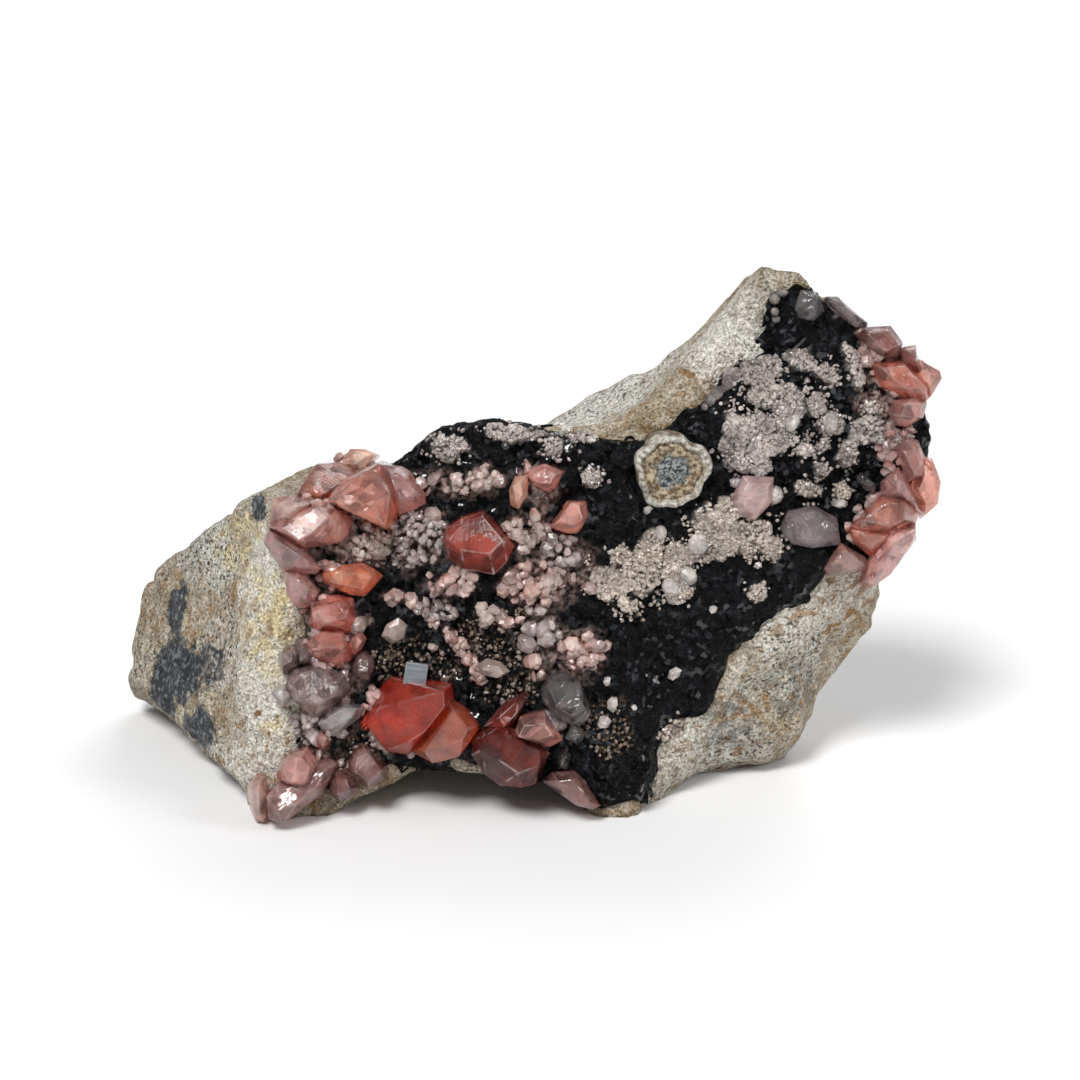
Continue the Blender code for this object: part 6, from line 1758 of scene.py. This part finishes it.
def nodule_surface():
    """The nodule's points, faces and paint: a height over its own plane for each ring and spoke."""
    steps = np.linspace(0, NODULE_RADII[-1], NODULE_RINGS + 1)[1:]
    radius, turn = np.meshgrid(steps, 2 * math.pi * np.arange(NODULE_SPOKES) / NODULE_SPOKES, indexing="ij")
    radius, turn = radius.ravel(), turn.ravel()
    centre = seat([NODULE_PLACE], crust_coarse)[0]
    axis = slopes(centre, step=3.0)[0]
    side = ACROSS - (ACROSS @ axis) * axis
    side /= np.linalg.norm(side)
    wavy = 1 + 0.06 * np.sin(3 * turn + 1) + 0.045 * np.sin(5 * turn) + 0.03 * np.sin(9 * turn + 2)
    reach = radius * wavy
    flat = np.outer(reach * np.cos(turn), side) + np.outer(reach * np.sin(turn), np.cross(axis, side))
    bead = np.abs(np.sin(turn * BEADS / 2 + 1.3 * np.sin(2 * turn) + 0.7 * np.sin(5 * turn)))
    away = np.abs((turn - OPENING + math.pi) % (2 * math.pi) - math.pi)
    opened = np.clip(1 - away / OPENING_WIDTH, 0, 1) * np.clip((radius - 2.2) / 0.8, 0, 1)
    height = np.interp(radius, NODULE_RADII, NODULE_HEIGHTS) - OPENING_DEPTH * opened
    height += np.clip(1 - np.abs(radius - BEAD_RING) / BEAD_WIDTH, 0, 1) * (0.45 * bead - 0.3)
    points = centre + NODULE_LIFT * axis + flat
    height += relief(points, NODULE_MOUNDS, domes) + relief(points, NODULE_SWELLS)
    height -= NODULE_SINK
    points += height[:, None] * axis
    number = np.arange(len(points)).reshape(NODULE_RINGS, NODULE_SPOKES)
    after = np.roll(number, -1, axis=1)
    quads = np.stack([number[:-1], number[1:], after[1:], after[:-1]], -1).reshape(-1, 4)
    middle, foot = len(points), len(points) + 1
    fans = [np.stack([np.full(NODULE_SPOKES, middle), number[0], after[0]], 1),
            np.stack([np.full(NODULE_SPOKES, foot), after[-1], number[-1]], 1)]
    points = np.concatenate([points, centre + 0.9 * axis, centre - 1.5 * axis])
    ring = np.append(radius / NODULE_RADII[-1], (0, 1))
    return points, [quads, np.concatenate(fans)], {"ring": ring, "hollow": np.append(1 - bead, (0, 0))}


def nodule_finish():
    """Cream-white beads outside, an ochre-grey ring within and a bluish-grey speckled middle."""
    made, tree, shader = new_material("cream_nodule", roughness=0.7, specular_ior_level=0.35)
    ring = painted(tree, "ring").outputs["Fac"]
    ring = maths(tree, "ADD", ring, maths(tree, "MULTIPLY", speckle(tree, 1.0, 0.3, 0.7, 4.0), 0.16))
    middle = blended(tree, speckle(tree, 0.35, 0.42, 0.56, 3.0), (0.025, 0.035, 0.042), (0.28, 0.30, 0.285))
    tan = blended(tree, speckle(tree, 0.45, 0.40, 0.60, 3.0), (0.12, 0.075, 0.04), (0.44, 0.36, 0.25))
    cream = blended(tree, speckle(tree, 0.5, 0.35, 0.60, 3.0), (0.30, 0.265, 0.21), (0.66, 0.64, 0.58))
    hollow = maths(tree, "MULTIPLY", painted(tree, "hollow").outputs["Fac"], 0.5)
    cream = blended(tree, hollow, cream, (0.26, 0.22, 0.17))
    colour = blended(tree, spanned(tree, ring, 0.46, 0.58), middle, tan)
    colour = blended(tree, spanned(tree, ring, 0.80, 0.92), colour, cream)
    colour = blended(tree, spanned(tree, ring, 1.02, 1.08), colour, (0.16, 0.12, 0.08))
    tree.links.new(colour, shader.inputs["Base Color"])
    tree.links.new(bumped(tree, speckle(tree, 0.3, 0.3, 0.7, 4.0), 0.12, 0.8), shader.inputs["Normal"])
    return made


points, faces, on_points = nodule_surface()
nodule = make_piece("nodule", points, faces, nodule_finish(), on_points)
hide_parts("ring_nodule")
print("nodule:", len(nodule.data.polygons), "faces")

# %% [markdown]
# The cube sits on the crust over the large red crystal, turned a little.

# %% The silvery cube
CUBE_PLACE = np.array([-11.5, 10.8])
CUBE_SIZE = 2.4
CUBE_TURN = math.radians(-8)
CUBE_RIM = 0.09


def cube_finish():
    """Grey metal with fine lines along its own axes and paler rims, a painted highlight on its edges."""
    made, tree, shader = new_material("silvery_metal", metallic=0.7, roughness=0.3)
    own = painted(tree, "own_axes").outputs["Vector"]
    flat = add_node(tree, "ShaderNodeVectorMath", {0: own, 1: (0.2, 9.0, 0.2)},
                    operation="MULTIPLY").outputs[0]
    lines = add_node(tree, "ShaderNodeTexNoise",
                     {"Vector": flat, "Scale": 1.0, "Detail": 2.0}).outputs["Fac"]
    colour = blended(tree, lines, (0.10, 0.115, 0.13), (0.46, 0.50, 0.54))
    # The narrow edge facets are painted paler: a painted highlight.
    colour = blended(tree, painted(tree, "rim").outputs["Fac"], colour, (0.70, 0.72, 0.74))
    tree.links.new(colour, shader.inputs["Base Color"])
    tree.links.new(bumped(tree, lines, 0.05, 0.7), shader.inputs["Normal"])
    return made


foot = footing(CUBE_PLACE[None], True)[0][0]
side = math.cos(CUBE_TURN) * ACROSS + math.sin(CUBE_TURN) * UP
rise = math.cos(CUBE_TURN) * UP - math.sin(CUBE_TURN) * ACROSS
centre = CUBE_PLACE @ PLANE + (foot - CUBE_SIZE / 2) * AWAY
corners = np.array([(i, j, k) for i in (-1, 1) for j in (-1, 1) for k in (1, -2)]) * CUBE_SIZE / 2
points, faces, rims = cut_hull(centre + corners @ np.stack([side, rise, -AWAY]), CUBE_RIM)
own = (points - centre) @ np.stack([side, rise, -AWAY]).T
cube = make_piece("cube", points, faces, cube_finish(), {"own_axes": own}, False, {"rim": rims})
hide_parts("silvery_cube")
print("cube:", len(cube.data.polygons), "faces")
